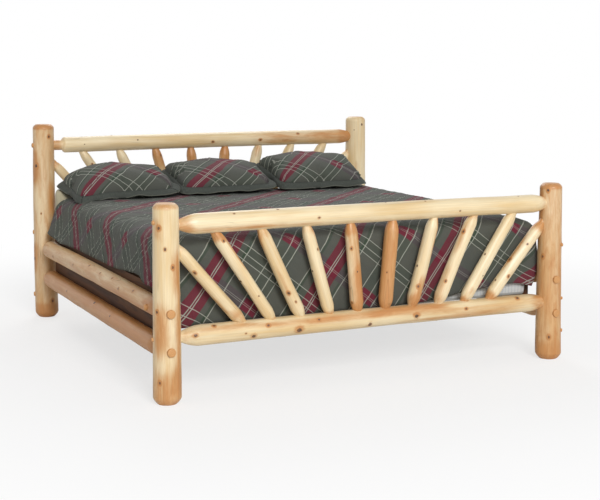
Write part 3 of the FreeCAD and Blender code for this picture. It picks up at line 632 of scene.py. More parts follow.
# Spindles: ten peeled branches fan out from each bottom rail to the top rail, the outermost
# two into the posts. Both ends are drawn down to a round tenon that is glued in.
spindles_per_side = 5
post_pitch_x = 2.083
fan_reach_past_post = 0.034
fan_bottom_share = 0.592
fan_top_pitch = (post_pitch_x / 2 + fan_reach_past_post) / (spindles_per_side - 0.5)
fan_bottom_pitch = fan_top_pitch * fan_bottom_share
spindle_tenon_radius = 0.019
spindle_taper = 0.050
spindle_taper_sink = 0.005
spindle_core_gap = 0.008
post_spindle_core_gap = 0.022
spindle_mean_radius = 0.031
spindle_butt_share = 1.04
spindle_tip_share = 0.96
spindle_thickness_shares = (0.95, 0.94, 1.02, 0.98, 1.03, 1.10, 1.05, 1.04, 0.99, 1.01)
foot_spindle_looks = {
    # Spindles 1 and 4 have a low tan that makes them paler, as painted light against the shade on
    # their left and lower sides.
    1: dict(tan=-0.3, ends=(0.75, 0.14, 0.6, 0.12), knots=[(0.393, -125, 0.010, 0.003)],
            patches=[(0.19, -160, 0.06, 40, 0.9), (0.12, -90, 0.03, 80, 0.6),
                     (0.39, -125, 0.03, 30, 0.5)]),
    2: dict(tan=-0.08, ends=(0.7, 0.075, 1.0, 0.12),
            knots=[(0.504, -79, 0.008, 0.002), (0.292, -161, 0.009, 0.003),
                   (0.187, -89, 0.005, 0.001)],
            patches=[(0.42, -40, 0.12, 24, 0.8)]),
    3: dict(tan=0.2, ends=(0.3, 0.06, 0.3, 0.10),
            knots=[(0.182, -118, 0.010, 0.003), (0.127, -94, 0.006, 0.002)],
            patches=[(0.47, 170, 0.05, 40, 0.5), (0.25, -118, 0.07, 16, 0.35)]),
    # Low tan here too: paler, as painted light against the shade on this spindle.
    4: dict(tan=-0.15, ends=(0.8, 0.08, 0.5, 0.10),
            knots=[(0.266, -170, 0.007, 0.002), (0.361, -60, 0.007, 0.001)],
            patches=[(0.3, -30, 0.2, 24, 0.6), (0.42, -70, 0.06, 40, 0.3)]),
    5: dict(tan=0.5, ends=(0.5, 0.10, 0.6, 0.10),
            knots=[(0.347, -125, 0.007, 0.002), (0.232, -88, 0.006, 0.001),
                   (0.082, -158, 0.006, 0.001)],
            patches=[(0.15, -50, 0.12, 60, 0.7), (0.42, -30, 0.1, 26, 0.5)]),
    6: dict(tan=0.85, ends=(0.2, 0.08, 0.2, 0.08), knots=[(0.214, -127, 0.005, 0.001)], patches=[]),
    7: dict(tan=-0.15, ends=(0.6, 0.12, 0.4, 0.08),
            knots=[(0.233, -160, 0.009, 0.003), (0.137, -108, 0.009, 0.002)],
            patches=[(0.12, -70, 0.09, 70, 0.9), (0.40, -42, 0.16, 26, 0.9)]),
    8: dict(tan=0.08, ends=(0.3, 0.10, 0.3, 0.08),
            knots=[(0.414, -150, 0.009, 0.003), (0.153, -127, 0.007, 0.001)],
            patches=[(0.38, -150, 0.10, 40, 0.5), (0.15, -150, 0.1, 40, 0.4)]),
    9: dict(tan=-0.12, ends=(0.9, 0.085, 0.3, 0.08),
            knots=[(0.298, -157, 0.008, 0.001), (0.199, -68, 0.006, 0.001)],
            patches=[(0.10, -100, 0.03, 90, 0.5)]),
    10: dict(tan=-0.05, ends=(0.95, 0.11, 0.9, 0.14),
             knots=[(0.387, -113, 0.0085, 0.002), (0.27, -170, 0.010, 0.003),
                    (0.194, -87, 0.008, 0.003), (0.14, -168, 0.008, 0.002)],
             patches=[(0.32, -175, 0.14, 30, 0.8), (0.2, -80, 0.05, 24, 0.5)]),
}
head_spindle_looks = {
    2: dict(tan=0.05, ends=(0.3, 0.1, 0.1, 0.1), knots=[(0.462, -88, 0.008, 0.003)], patches=[]),
    3: dict(tan=0.0, ends=(0.3, 0.1, 0.1, 0.1), knots=[], patches=[]),
    4: dict(tan=0.55, ends=(0.3, 0.1, 0.4, 0.1), knots=[(0.436, -60, 0.008, 0.002)],
            patches=[(0.42, -80, 0.06, 40, 0.3)]),
    5: dict(tan=0.75, ends=(0.3, 0.1, 0.4, 0.1), knots=[], patches=[]),
    6: dict(tan=0.75, ends=(0.3, 0.1, 0.4, 0.1), knots=[], patches=[]),
    7: dict(tan=-0.1, ends=(0.4, 0.1, 0.2, 0.1), knots=[], patches=[(0.44, -110, 0.05, 40, 0.6)]),
    8: dict(tan=0.0, ends=(0.4, 0.1, 0.2, 0.1), knots=[], patches=[]),
    9: dict(tan=0.0, ends=(0.4, 0.1, 0.2, 0.1), knots=[], patches=[(0.42, -160, 0.06, 40, 0.7)]),
}
plain_spindle = dict(tan=0.1, ends=(0.5, 0.1, 0.5, 0.1), knots=[], patches=[])


def rail_radius_at(name, x):
    look = rail_looks[name]
    start, end = rail_ends(name.split("_")[0], look["z"])
    return (look["left"] + (look["right"] - look["left"]) * (x - start.x) / (end.x - start.x)) / 2


for end_name, looks in (("foot", foot_spindle_looks), ("head", head_spindle_looks)):
    bottom, top = end_name + "_rail_bottom", end_name + "_rail_top"
    rail_y = post_centres[end_name + "_post_left"].y
    for number in range(1, 2 * spindles_per_side + 1):
        side = -1 if number <= spindles_per_side else 1
        place = spindles_per_side - number if side < 0 else number - spindles_per_side - 1
        bottom_x = side * (place + 0.5) * fan_bottom_pitch
        top_x = side * (place + 0.5) * fan_top_pitch
        foot = Vector((bottom_x, rail_y, rail_looks[bottom]["z"]))
        run = Vector((top_x, rail_y, rail_looks[top]["z"])) - foot
        direction = run.normalized()
        start_s = spindle_core_gap
        first_tenon = rail_radius_at(bottom, bottom_x) / direction.z - spindle_taper_sink - start_s
        if place < spindles_per_side - 1:
            end_s = run.length - spindle_core_gap
            last_tenon = (rail_radius_at(top, top_x) / direction.z - spindle_taper_sink
                          - spindle_core_gap)
        else:
            post = end_name + ("_post_left" if side < 0 else "_post_right")
            lean = abs(direction.x)
            reach = abs(post_centres[post].x) - abs(bottom_x)
            end_s = (reach - post_spindle_core_gap) / lean
            radius = post_radius_at(post, foot.z + end_s * direction.z)
            last_tenon = end_s - (reach - radius) / lean - spindle_taper_sink
        rng = random.Random(number * 7 + len(end_name) + ord(end_name[0]))
        look = dict(looks.get(number, plain_spindle),
                    bow=(rng.uniform(-0.003, 0.003), rng.uniform(-0.002, 0.002)))
        radius = spindle_mean_radius * spindle_thickness_shares[number - 1]
        first = (spindle_tenon_radius, first_tenon, spindle_taper, radius * spindle_butt_share)
        last = (spindle_tenon_radius, last_tenon, spindle_taper, radius * spindle_tip_share)
        length = end_s - start_s
        peel_log(f"{end_name}_spindle_{number}", foot + direction * start_s,
                 foot + direction * end_s, tapered_radius(length, first, last),
                 rings_along(length, 0.11, 0.11, 0.004, 0.0075), 36,
                 12.0 + number + (20 if end_name == "head" else 0), look, unround=0.022)

# Side logs: two per side, from post to post, each held by a bolt at both ends. Both are
# sawn flat inside, where the wide board that carries the slats lies against them.
side_tenon_radius = 0.025
side_tenon_depth = 0.032
side_taper = 0.070
board_face_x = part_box("side_board_right")[1].x
upper_log = dict(z=0.419, foot=0.086, head=0.100, bow=(0.003, 0.0), ends=(0.6, 0.16, 0.1, 0.1))
lower_log = dict(z=0.245, foot=0.094, head=0.098, bow=(-0.002, 0.0), ends=(0.5, 0.16, 0.1, 0.1))
side_log_looks = {
    # The high tan of both left side logs is partly inner bark and partly painted shade, for the
    # shaded left side of the bed.
    "side_log_upper_left": dict(
        upper_log, tan=0.55,
        knots=[(1.778, -100, 0.009, 0.002), (1.353, -80, 0.007, 0.002), (1.109, -35, 0.008, 0.002),
               (0.892, -45, 0.007, 0.002), (0.703, -36, 0.007, 0.002), (0.547, -76, 0.009, 0.003),
               (0.356, -44, 0.009, 0.003)],
        patches=[(0.45, -110, 0.4, 30, 0.3), (0.12, -90, 0.05, 60, 0.5)],
        stubs=[(0.123, -92, 0.013, 0.018)]),
    "side_log_upper_right": dict(
        upper_log, tan=0.12,
        knots=[(0.4, 80, 0.009, 0.002), (0.9, 60, 0.01, 0.003), (1.5, 100, 0.009, 0.002)],
        patches=[(0.5, 90, 0.3, 30, 0.4), (1.3, 60, 0.2, 30, 0.4)]),
    # High tan here too: partly inner bark, partly painted shade on this shaded side.
    "side_log_lower_left": dict(
        lower_log, tan=0.85,
        knots=[(1.005, -40, 0.014, 0.004), (0.70, -60, 0.010, 0.003), (1.5, -70, 0.009, 0.002)],
        patches=[(1.0, -50, 0.14, 40, 0.5), (0.45, -80, 0.3, 50, 0.6)]),
    "side_log_lower_right": dict(
        lower_log, tan=0.2,
        knots=[(0.5, 70, 0.011, 0.003), (1.2, 100, 0.011, 0.003), (1.7, 60, 0.009, 0.002)],
        patches=[(0.8, 90, 0.2, 40, 0.5)]),
}
for index, (name, look) in enumerate(side_log_looks.items()):
    side_name = name.split("_")[-1]
    z = look["z"]
    ends = []
    for end_name, inward in (("foot", 1), ("head", -1)):
        post = f"{end_name}_post_{side_name}"
        x, y, _ = post_centres[post]
        ends.append(Vector((x, y + inward * (post_radius_at(post, z) - side_tenon_depth), z)))
    start, end = ends
    length = end.y - start.y
    first = (side_tenon_radius, side_tenon_depth, side_taper, look["foot"] / 2)
    last = (side_tenon_radius, side_tenon_depth, side_taper, look["head"] / 2)
    outward = -1 if side_name == "left" else 1
    peel_log(name, start, end, tapered_radius(length, first, last),
             rings_along(length, 0.12, 0.12, 0.005, 0.009), 44, 50.0 + index, look,
             flat=(Vector((outward * board_face_x, 0, 0)), Vector((-outward, 0, 0))))

# Bolt plugs: turned wooden buttons that close the pockets of the bed bolts, two on each
# post. They stand out a little, with a rounded rim and open end grain that took the stain.
plug_radius = 0.0205
plug_stand_out = 0.009
plug_depth = 0.030
plug_rim = 0.0045
plug_tip_share = 0.97
plug_ring_insets = (0.004, 0.005)
plug_ring_step = 0.0006
for end_name, facing in (("foot", -1), ("head", 1)):
    bm = bmesh.new()
    grain, tan, cut, knot_map = keep_layers(bm)
    finished = set()
    for side_name in ("left", "right"):
        post = f"{end_name}_post_{side_name}"
        for z in (upper_log["z"], lower_log["z"]):
            bmesh.ops.create_cone(bm, cap_ends=True, segments=36, radius1=plug_radius,
                                  radius2=plug_radius * plug_tip_share, depth=plug_depth)
            face = [f for f in bm.faces if len(f.verts) > 4 and f.calc_center_median().z > 0
                    and f.verts[0] not in finished]
            round_edges(bm, [e for f in face for e in f.edges], plug_rim, 4)
            top = [f for f in bm.faces if len(f.verts) > 30 and f.verts[0] not in finished
                   and f.calc_center_median().z > 0]
            for inset in plug_ring_insets:
                bmesh.ops.inset_individual(bm, faces=top, thickness=inset, depth=plug_ring_step)
            bmesh.ops.poke(bm, faces=top)
            out = post_radius_at(post, z) + plug_stand_out - plug_depth / 2
            centre = Vector((post_centres[post].x, post_centres[post].y + facing * out, z))
            turn = Vector((0, facing, 0)).to_track_quat("Z", "Y").to_matrix()
            for v in bm.verts:
                if v not in finished:
                    v[grain] = v.co + Vector((0, 0, z * 9 + centre.x))
                    v[tan] = 0.9
                    v[cut] = smooth_step(plug_depth * 0.2, plug_depth * 0.45, v.co.z)
                    v.co = centre + turn @ v.co
                    for loop in v.link_loops:
                        loop[knot_map].uv = no_knot
                    finished.add(v)
    lay_piece(bm, f"turned_{end_name}_plugs", peeled_log_finish, f"{end_name}_bolt_plugs", "bed")

# Boards, cleats, slats and the centre support: sawn pine. The wide boards inside the side
# logs are stained dark brown and darkened further as painted shade for the gap between the logs;
# the rest is planed and left bare. All keep their CAD shape.
# Painted shade: these dark browns are stain made darker to stand in for the shade between the side
# logs.
board_stain_and_painted_shade = (srgb(96, 60, 30), srgb(60, 34, 18))
bare_pine = (srgb(222, 190, 142), srgb(186, 142, 92))


def sawn_lumber(along, pale, dark):
    """Sawn wood whose grain runs along one axis: 0 is X, 1 is Y and 2 is Z"""
    def paint(tone):
        place = tone.place()
        broad_scale = [14, 14, 14]
        line_scale = [130, 130, 130]
        broad_scale[along] = 1.1
        line_scale[along] = 2.4
        rings = place.stretch(*broad_scale).noise(1.0, 3.0, 0.5, 0.9)
        lines = place.stretch(*line_scale).noise(1.0, 3.0, 0.6)
        bands = (rings * 26.0).math("SINE") * 0.5 + 0.5
        color = (bands * 0.55 + lines * 0.5).step(0.2, 1.0).mix(pale, dark)
        saw = place.stretch(40, 40, 40).noise(1.0, 2.0)
        return color, 0.62 + lines * 0.2, lines * 0.6 + saw * 0.2 + bands * 0.15, 0.0006
    return paint


def refinish(name, material):
    """Gives a piece that keeps its CAD shape the finish of the real one"""
    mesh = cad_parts[name].data
    mesh.materials.clear()
    mesh.materials.append(material)


lumber_finishes = {
    "dark_board": finish("stained_board_with_painted_shade", sawn_lumber(1, *board_stain_and_painted_shade)),
    "long": finish("planed_pine_long", sawn_lumber(1, *bare_pine)),
    "cross": finish("planed_pine_cross", sawn_lumber(0, *bare_pine)),
    "upright": finish("planed_pine_upright", sawn_lumber(2, *bare_pine)),
}
lumber_nodes = {"side_board_left": "dark_board", "side_board_right": "dark_board",
                "slat_cleat_left": "long", "slat_cleat_right": "long", "centre_beam": "long",
                "centre_leg": "upright"}
lumber_nodes.update({f"slat_{number}": "cross" for number in range(1, 6)})
for name, finish_name in lumber_nodes.items():
    refinish(name, lumber_finishes[finish_name])

# Fasteners: zinc plated bed bolts with washers and barrel nuts, and countersunk screws.
# They sit inside the wood, so that only a few heads show from below.
zinc_light = srgb(196, 198, 202)
zinc_shade = srgb(150, 152, 150)


def zinc_plate(tone):
    place = tone.place()
    bloom = place.noise(90.0, 3.0, 0.6)
    scratches = place.stretch(900, 900, 60).noise(1.0, 2.0)
    color = bloom.step(0.3, 0.75).mix(zinc_light, zinc_shade)
    return color, 0.28 + bloom * 0.22, scratches, 0.0001


zinc_finish = finish("zinc_plated_steel", zinc_plate, Metallic=1.0)
for name in ("bed_bolts", "bolt_washers", "barrel_nuts", "board_screws", "cleat_screws",
             "slat_screws", "leg_lag_screw"):
    refinish(name, zinc_finish)

# Foundation: a king size box spring in two halves, side by side on the slats. Its frame is
# covered with pale striped ticking, with a taped edge round the top and the bottom.
ticking_pale = srgb(212, 215, 214)
ticking_stripe = srgb(184, 190, 196)
tape_color = srgb(168, 170, 168)
stripe_pitch = 0.019
tape_width = 0.016
foundation_low_z, foundation_high_z = (corner.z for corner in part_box("foundation_left"))


def ticking(tone):
    place = tone.place()
    x, y, z = place.parts()
    stripe = ((x + y) * 2 * math.pi / stripe_pitch).math("SINE").step(0.35, 0.75)
    weave = ((x * 5200).math("SINE") * (z * 5200).math("SINE")) * 0.5 + 0.5
    soil = place.noise(7.0, 3.0)
    color = (stripe * 0.5).mix(ticking_pale, ticking_stripe)
    color = (soil.step(0.4, 0.9) * 0.25).mix(color, tape_color)
    from_top = (z - foundation_high_z).math("ABSOLUTE")
    from_bottom = (z - foundation_low_z).math("ABSOLUTE")
    tape = 1.0 - from_top.math("MINIMUM", from_bottom).step(tape_width * 0.9, tape_width)
    color = tape.mix(color, tape_color)
    return color, 0.85, weave * 0.4 + tape * 1.5 + soil, 0.0008


ticking_finish = finish("striped_ticking", ticking, Sheen_Weight=0.15)


def soft_box(low, high, corner, edge, cuts):
    """A box with round corners and edges, cut fine enough to be pushed about"""
    bm = bmesh.new()
    bmesh.ops.create_cube(bm, size=1)
    size, centre = high - low, (low + high) / 2
    bmesh.ops.scale(bm, vec=size, verts=bm.verts)
    bmesh.ops.translate(bm, vec=centre, verts=bm.verts)
    upright = [e for e in bm.edges if abs(e.verts[0].co.z - e.verts[1].co.z) > size.z / 2]
    round_edges(bm, upright, corner, 7)
    level = [e for e in bm.edges if abs(e.verts[0].co.z - e.verts[1].co.z) < 1e-6
             and any(abs(f.normal.z) > 0.9 for f in e.link_faces)
             and any(abs(f.normal.z) < 0.1 for f in e.link_faces)]
    round_edges(bm, level, edge, 4)
    for axis, count in enumerate(cuts):
        for index in range(1, count):
            place, normal = centre.copy(), Vector()
            place[axis] = low[axis] + size[axis] * index / count
            normal[axis] = 1
            bmesh.ops.bisect_plane(bm, geom=whole(bm), plane_co=place, plane_no=normal)
    return bm


foundation_slack = Vector((0.003, 0.003, 0.001))
foundation_corner = 0.028
foundation_edge = 0.010
ticking_ripple = 0.003
ticking_draw_in = 0.0015
for side_name in ("left", "right"):
    low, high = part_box("foundation_" + side_name)
    bm = soft_box(low + foundation_slack, high - foundation_slack, foundation_corner,
                  foundation_edge, (14, 30, 5))
    middle_z = (low.z + high.z) / 2
    for v in bm.verts:
        slack = 1 - (2 * (v.co.z - middle_z) / (high.z - low.z)) ** 2
        pull = slack * (ticking_ripple * noise.noise(v.co * 6.0) - ticking_draw_in)
        v.co += Vector((math.copysign(pull, v.co.x) if abs(v.co.x) > 0.9 else 0,
                        math.copysign(pull, v.co.y) if abs(v.co.y) > 0.9 else 0, 0))
    base = lay_piece(bm, f"box_spring_{side_name}", ticking_finish, f"foundation_{side_name}",
                     "bed")

# Mattress: foam and springs under a cream cotton fitted sheet, whose elastic gathers it at
# the corners. It shows at the head end, where the comforter stops short of the pillows. Its
# cream is darkened as painted shade, for the shadow of the pillows above it.
# Painted shade: both tones are cream darkened for the pillows' shadow; the darker one also shades
# the creases.
sheet_cream_painted_shade = srgb(192, 182, 152)
sheet_shade = srgb(162, 152, 124)
sheet_bulge_out = 0.050
sheet_bulge_up = 0.074
sheet_corner = 0.064
sheet_edge = 0.027
sheet_ripple = 0.003
pleat_depth = 0.004
pleats_per_metre = 150 / (2 * math.pi)
mattress_low, mattress_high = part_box("mattress")


def cotton_sheet(tone):
    place = tone.place()
    cloud = place.noise(5.0, 3.0)
    crease = place.stretch(22, 22, 9).noise(1.0, 4.0, 0.6, 0.8)
    thread = place.noise(900.0, 1.0)
    # Painted shade: the crease noise darkens the creases towards the darker tone; the cloud noise
    # is uneven colour.
    color = (cloud * 0.6 + crease * 0.4).step(0.35, 0.7).mix(sheet_cream_painted_shade, sheet_shade)
    return color, 0.8, crease * 3.0 + thread * 0.2, 0.0016


sheet_finish = finish("cotton_sheet", cotton_sheet, Sheen_Weight=0.25)
bm = soft_box(mattress_low + Vector((0.002, 0.002, 0.001)),
              mattress_high - Vector((0.002, 0.002, 0.003)), sheet_corner, sheet_edge,
              (60, 64, 12))
middle = (mattress_low + mattress_high) / 2
for v in bm.verts:
    if abs(v.normal.z) < 0.5:
        low_share = 1 - (v.co.z - mattress_low.z) / (mattress_high.z - mattress_low.z)
        corner = (smooth_step(0.80, 0.96, abs(v.co.x))
                  * smooth_step(0.86, 1.0, abs(v.co.y - middle.y)))
        pleat = (math.sin((v.co.x + v.co.y) * 2 * math.pi * pleats_per_metre)
                 * corner * low_share * pleat_depth)
        soft = sheet_ripple * noise.noise(Vector((v.co.x * 4, v.co.y * 4, v.co.z * 9)))
        out = Vector((v.co.x - middle.x, v.co.y - middle.y, 0)).normalized()
        v.co += out * (min(pleat + soft, 0.0) - 0.001)
    bulge = smooth_step(0.86, 0.94, v.co.y) * smooth_step(0.86, 0.94, abs(v.co.x))
    v.co.x += math.copysign(sheet_bulge_out * bulge * smooth_step(0.50, 0.62, v.co.z), v.co.x)
    v.co.z += sheet_bulge_up * bulge * smooth_step(0.60, 0.70, v.co.z)
mattress_piece = lay_piece(bm, "sheeted_mattress", sheet_finish, "mattress", "bed")

# Comforter: woven cotton with a thin filling, in a charcoal green plaid on the bias. It
# lies over the mattress and hangs at both sides and the foot; its foot corners are cut away.
comforter_top = 0.737
shoulder_run = 0.18
# The shoulder is an arc whose bend grows along its run: how far out, how far down and how much
# area it takes, as shares of the run.
shoulder_out_share = 0.7799
shoulder_down_share = 0.4383
shoulder_area_share = 0.4617
drop_x = 0.995
drop_y = 1.031
side_hem_z = 0.486
foot_hem_z = 0.338
foot_hem_right_lift = 0.058
foot_hem_right_tuck = 0.030
foot_hem_left_tuck = 0.018
head_edge_y = 0.80
head_zone_y = 0.35
head_flare = 0.155
head_corner_lift = 0.032
head_corner_out = 0.014
side_foot_lift = 0.024
side_bulge = 0.023
side_head_bulge = 0.034
foot_corner_out = 0.014
foot_corner_sink = 0.010
rumples = ((0.0030, 4.0, (0, 0, 0)), (0.0024, 10.0, (3, 5, 1)), (0.0016, 26.0, (7, 2, 4)))
crease_height = 0.0034
cross_crease_height = 0.0022
side_fold = 0.008
side_ripple = 0.005
foot_gather = 0.008
foot_ripple = 0.003
cloth_spacing = 0.013
comforter_thickness = 0.011
shoulder_x = drop_x - shoulder_out_share * shoulder_run
shoulder_y = drop_y - shoulder_out_share * shoulder_run
shoulder_low_z = comforter_top - shoulder_down_share * shoulder_run
side_drop = shoulder_run + shoulder_low_z - side_hem_z
foot_drop = shoulder_run + shoulder_low_z - foot_hem_z
flat_half_width = shoulder_x + side_drop
flat_length = head_edge_y + shoulder_y + foot_drop
plaid_zero_z = 0.55
plaid_zero_run = shoulder_run + shoulder_low_z - plaid_zero_z
side_shear = 0.28
side_hump = 0.30
foot_shear = 0.28
plaid_repeat = 0.439
band_start = 0.1832
cross_start = 0.1158
charcoal = srgb(83, 87, 82)
charcoal_warm = srgb(88, 89, 81)
bottle_green = srgb(52, 70, 55)
burgundy = srgb(112, 34, 52)
mulberry = srgb(84, 74, 78)
pale_thread = srgb(186, 188, 176)


def plaid(tone):
    """The plaid in the flat cloth's own metres; where crinkle is 1 its lines wander and break"""
    cloth = tone.node("UVMap", uv_map="cloth")
    crinkle = tone.layer("crinkle") * 0.88 + 0.12
    wander_a, wander_b, _ = cloth.noise(42.0, 2.0, 0.5, out=1).parts()
    drift_a, drift_b = ((wander - 0.5) * crinkle * 0.015 for wander in (wander_a, wander_b))
    u, v, _ = cloth.parts()
    diagonal = math.sqrt(0.5)
    a = ((u + band_start - v) * diagonal + drift_a) / plaid_repeat
    b = ((u - cross_start + v) * diagonal + drift_b) / plaid_repeat

    def near(phase, offset=0.0):
        """Distance in metres from the nearest line of a set"""
        shifted = phase - offset / plaid_repeat + 0.5
        return (shifted.math("FRACT") - 0.5).math("ABSOLUTE") * plaid_repeat

    def line(distance, width, soft=0.0012):
        return 1.0 - distance.step(width / 2 - soft, width / 2 + soft)

    half = plaid_repeat / 2
    band = near(a)
    pair = line((band - 0.0048).math("ABSOLUTE"), 0.0036)
    red = line(band, 0.078) * (1.0 - pair)
    single = line(near(a, 0.0775), 0.0037) + line(near(a, -0.088), 0.0037)
    beside = line(near(a, 0.069), 0.012, 0.003) + line(near(a, -0.080), 0.012, 0.003)
    threes = sum(line(near(a, half + offset), 0.0037) for offset in (-0.047, 0.0, 0.036))
    between = line(near(a, half - 0.005), 0.098, 0.006)
    cross = sum(line(near(b, offset), 0.0037) for offset in (-0.034, 0.0, 0.042))
    cross_between = line(near(b, 0.004), 0.084, 0.006)
    mauve = near(b, half)
    mauve_band = line(mauve, 0.070, 0.003)
    mauve_pair = line((mauve - 0.0048).math("ABSOLUTE"), 0.0030)
    strong = line(near(a, half - 0.005), 0.072, 0.003) * mauve_band
    heather = cloth.noise(420.0, 2.0)
    fade = cloth.noise(3.0, 3.0)
    color = (heather * 0.5 + fade * 0.6).step(0.35, 0.8).mix(charcoal_warm, charcoal)
    color = ((between + cross_between).clamp() * 0.28 + beside * 0.55).mix(color, bottle_green)
    color = (mauve_band * 0.72).mix(color, mulberry)
    color = (red * (mauve_band * 0.14 + 0.84)).mix(color, burgundy)
    color = (strong * 0.9).mix(color, burgundy)
    lines = ((pair + single + threes + cross).clamp() * 0.74 + mauve_pair * 0.4).clamp()
    broken = cloth.noise(58.0, 2.0).step(0.40, 0.56)
    dashes = (1.0 - crinkle * (1.0 - broken) * 0.75) * (heather.step(0.25, 0.55) * 0.2 + 0.8)
    color = (lines * dashes).mix(color, pale_thread)
    warp = ((u + v) * 3600).math("SINE")
    weft = ((u - v) * 3600).math("SINE")
    weave = warp * weft * 0.5 + 0.5
    rumple = cloth.noise(46.0, 3.0, 0.6) * (crinkle * 1.6 + 0.6)
    roughness = 0.82 - lines * 0.08
    return color, roughness, weave * 0.25 + rumple * 1.6 + lines * 0.15, 0.0016


plaid_finish = finish("plaid_cotton", plaid, Sheen_Weight=0.05, Specular_IOR_Level=0.25)


def over_edge(run):
    """How far out and down the cloth lies, a run of cloth past the start of the shoulder"""
    if run < 0:
        return run, 0.0
    if run >= shoulder_run:
        return (shoulder_out_share * shoulder_run,
                shoulder_down_share * shoulder_run + run - shoulder_run)
    # The first terms of the series for an arc whose bend grows evenly from nothing.
    share = run / shoulder_run
    turn = math.pi / 2
    out = share - turn ** 2 * share ** 5 / 10 + turn ** 4 * share ** 9 / 216
    down = turn * share ** 3 / 3 - turn ** 3 * share ** 7 / 42 + turn ** 5 * share ** 11 / 1320
    return out * shoulder_run, down * shoulder_run


def drape(u, w):
    """Where a point of the flat cloth lies on the bed"""
    side_run = abs(u) - shoulder_x
    foot_run = -shoulder_y - w
    if side_run <= 0 and foot_run <= 0:
        return Vector((u, w, comforter_top))
    if foot_run <= 0:
        out, down = over_edge(side_run)
        return Vector((math.copysign(shoulder_x + out, u), w, comforter_top - down))
    if side_run <= 0:
        out, down = over_edge(foot_run)
        return Vector((u, -shoulder_y - out, comforter_top - down))
    out, down = over_edge(max(side_run, foot_run))
    if foot_run >= side_run:
        turn = math.pi / 4 * side_run / foot_run
    else:
        turn = math.pi / 2 - math.pi / 4 * foot_run / side_run
    if u > 0:
        out *= (math.cos(turn) ** 6 + math.sin(turn) ** 6) ** (-1 / 6)
    return Vector((math.copysign(shoulder_x + out * math.sin(turn), u),
                   -shoulder_y - out * math.cos(turn), comforter_top - down))


def plaid_place(u, w, on_side):
    """Where the plaid lies at a point of the flat cloth; each drop is pulled askew a little"""
    side_run = max(abs(u) - shoulder_x, 0.0)
    foot_run = max(-shoulder_y - w, 0.0)
    along = w + shoulder_y + plaid_zero_run
    if on_side:
        near_head = smooth_step(head_zone_y, head_edge_y, w)
        share = side_run / side_drop
        along += near_head * share * (head_flare + side_hump * (1 - share)) - side_shear * side_run
        foot_run = 0.0
    return u + foot_shear * (plaid_zero_run - foot_run), along


def ridge(place, sharpness):
    return (1 - abs(noise.noise(place))) ** sharpness


across_count = round(2 * flat_half_width / cloth_spacing)
along_count = round(flat_length / cloth_spacing)
bm = bmesh.new()
bmesh.ops.create_grid(bm, x_segments=across_count, y_segments=along_count, size=1)
cloth_map = bm.loops.layers.uv.new("cloth")
crinkle_layer = bm.verts.layers.float.new("crinkle")
flat_places = {}
for v in bm.verts:
    u = v.co.x * flat_half_width
    w = head_edge_y - (1 - v.co.y) / 2 * flat_length
    flat_places[v.index] = (u, w)
    v[crinkle_layer] = 1 - smooth_step(0.02, shoulder_run, -shoulder_y - w)
for face in bm.faces:
    runs = [(abs(flat_places[v.index][0]) - shoulder_x, -shoulder_y - flat_places[v.index][1])
            for v in face.verts]
    on_side = sum(s for s, f in runs) > sum(f for s, f in runs)
    for loop, (side_run, foot_run) in zip(face.loops, runs):
        u, w = flat_places[loop.vert.index]
        if side_run > 0 and foot_run > 0:
            out = over_edge(max(side_run, foot_run))[0]
            if on_side:
                w = -shoulder_y - out * math.pi / 4 * foot_run / max(side_run, 1e-6)
            else:
                u = math.copysign(shoulder_x + out * math.pi / 4 * side_run / foot_run, u)
        loop[cloth_map].uv = plaid_place(u, w, on_side)
for v in bm.verts:
    v.co = drape(*flat_places[v.index])
bm.normal_update()
pushes = {}
for v in bm.verts:
    u, w = flat_places[v.index]
    side_run = max(abs(u) - shoulder_x, 0.0)
    foot_run = max(-shoulder_y - w, 0.0)
    hang = smooth_step(0.06, side_drop, side_run)
    foot_hang = smooth_step(0.06, foot_drop, foot_run)
    flat_point = Vector((u, w, 0.0))
    push = sum(height * noise.noise(flat_point * per_metre + Vector(first))
               for height, per_metre, first in rumples)
    push += crease_height * (ridge(flat_point * 6.0 + Vector((1, 9, 2)), 7) - 0.3)
    push += (cross_crease_height * (ridge(Vector((u * 7, w * 17, 3.0)), 5) - 0.4)
             * v[crinkle_layer])
    slant = w + side_run * 0.35 * math.copysign(1, u)
    fold = noise.noise(Vector((slant * 5.2, u * 0.6, 5.0)))
    ripple = noise.noise(Vector((slant * 13.0, u * 1.4, 8.0)))
    push += hang * (side_fold * fold + side_ripple * ripple)
    gather = noise.noise(Vector((u * 3.4, w * 0.6, 11.0)))
    ripple = noise.noise(Vector((u * 10, w * 3, 2.0)))
    push += foot_hang * (foot_gather * gather + foot_ripple * ripple)
    if side_run == 0 and foot_run == 0:
        push = max(push, -0.006)
    pushes[v.index] = push
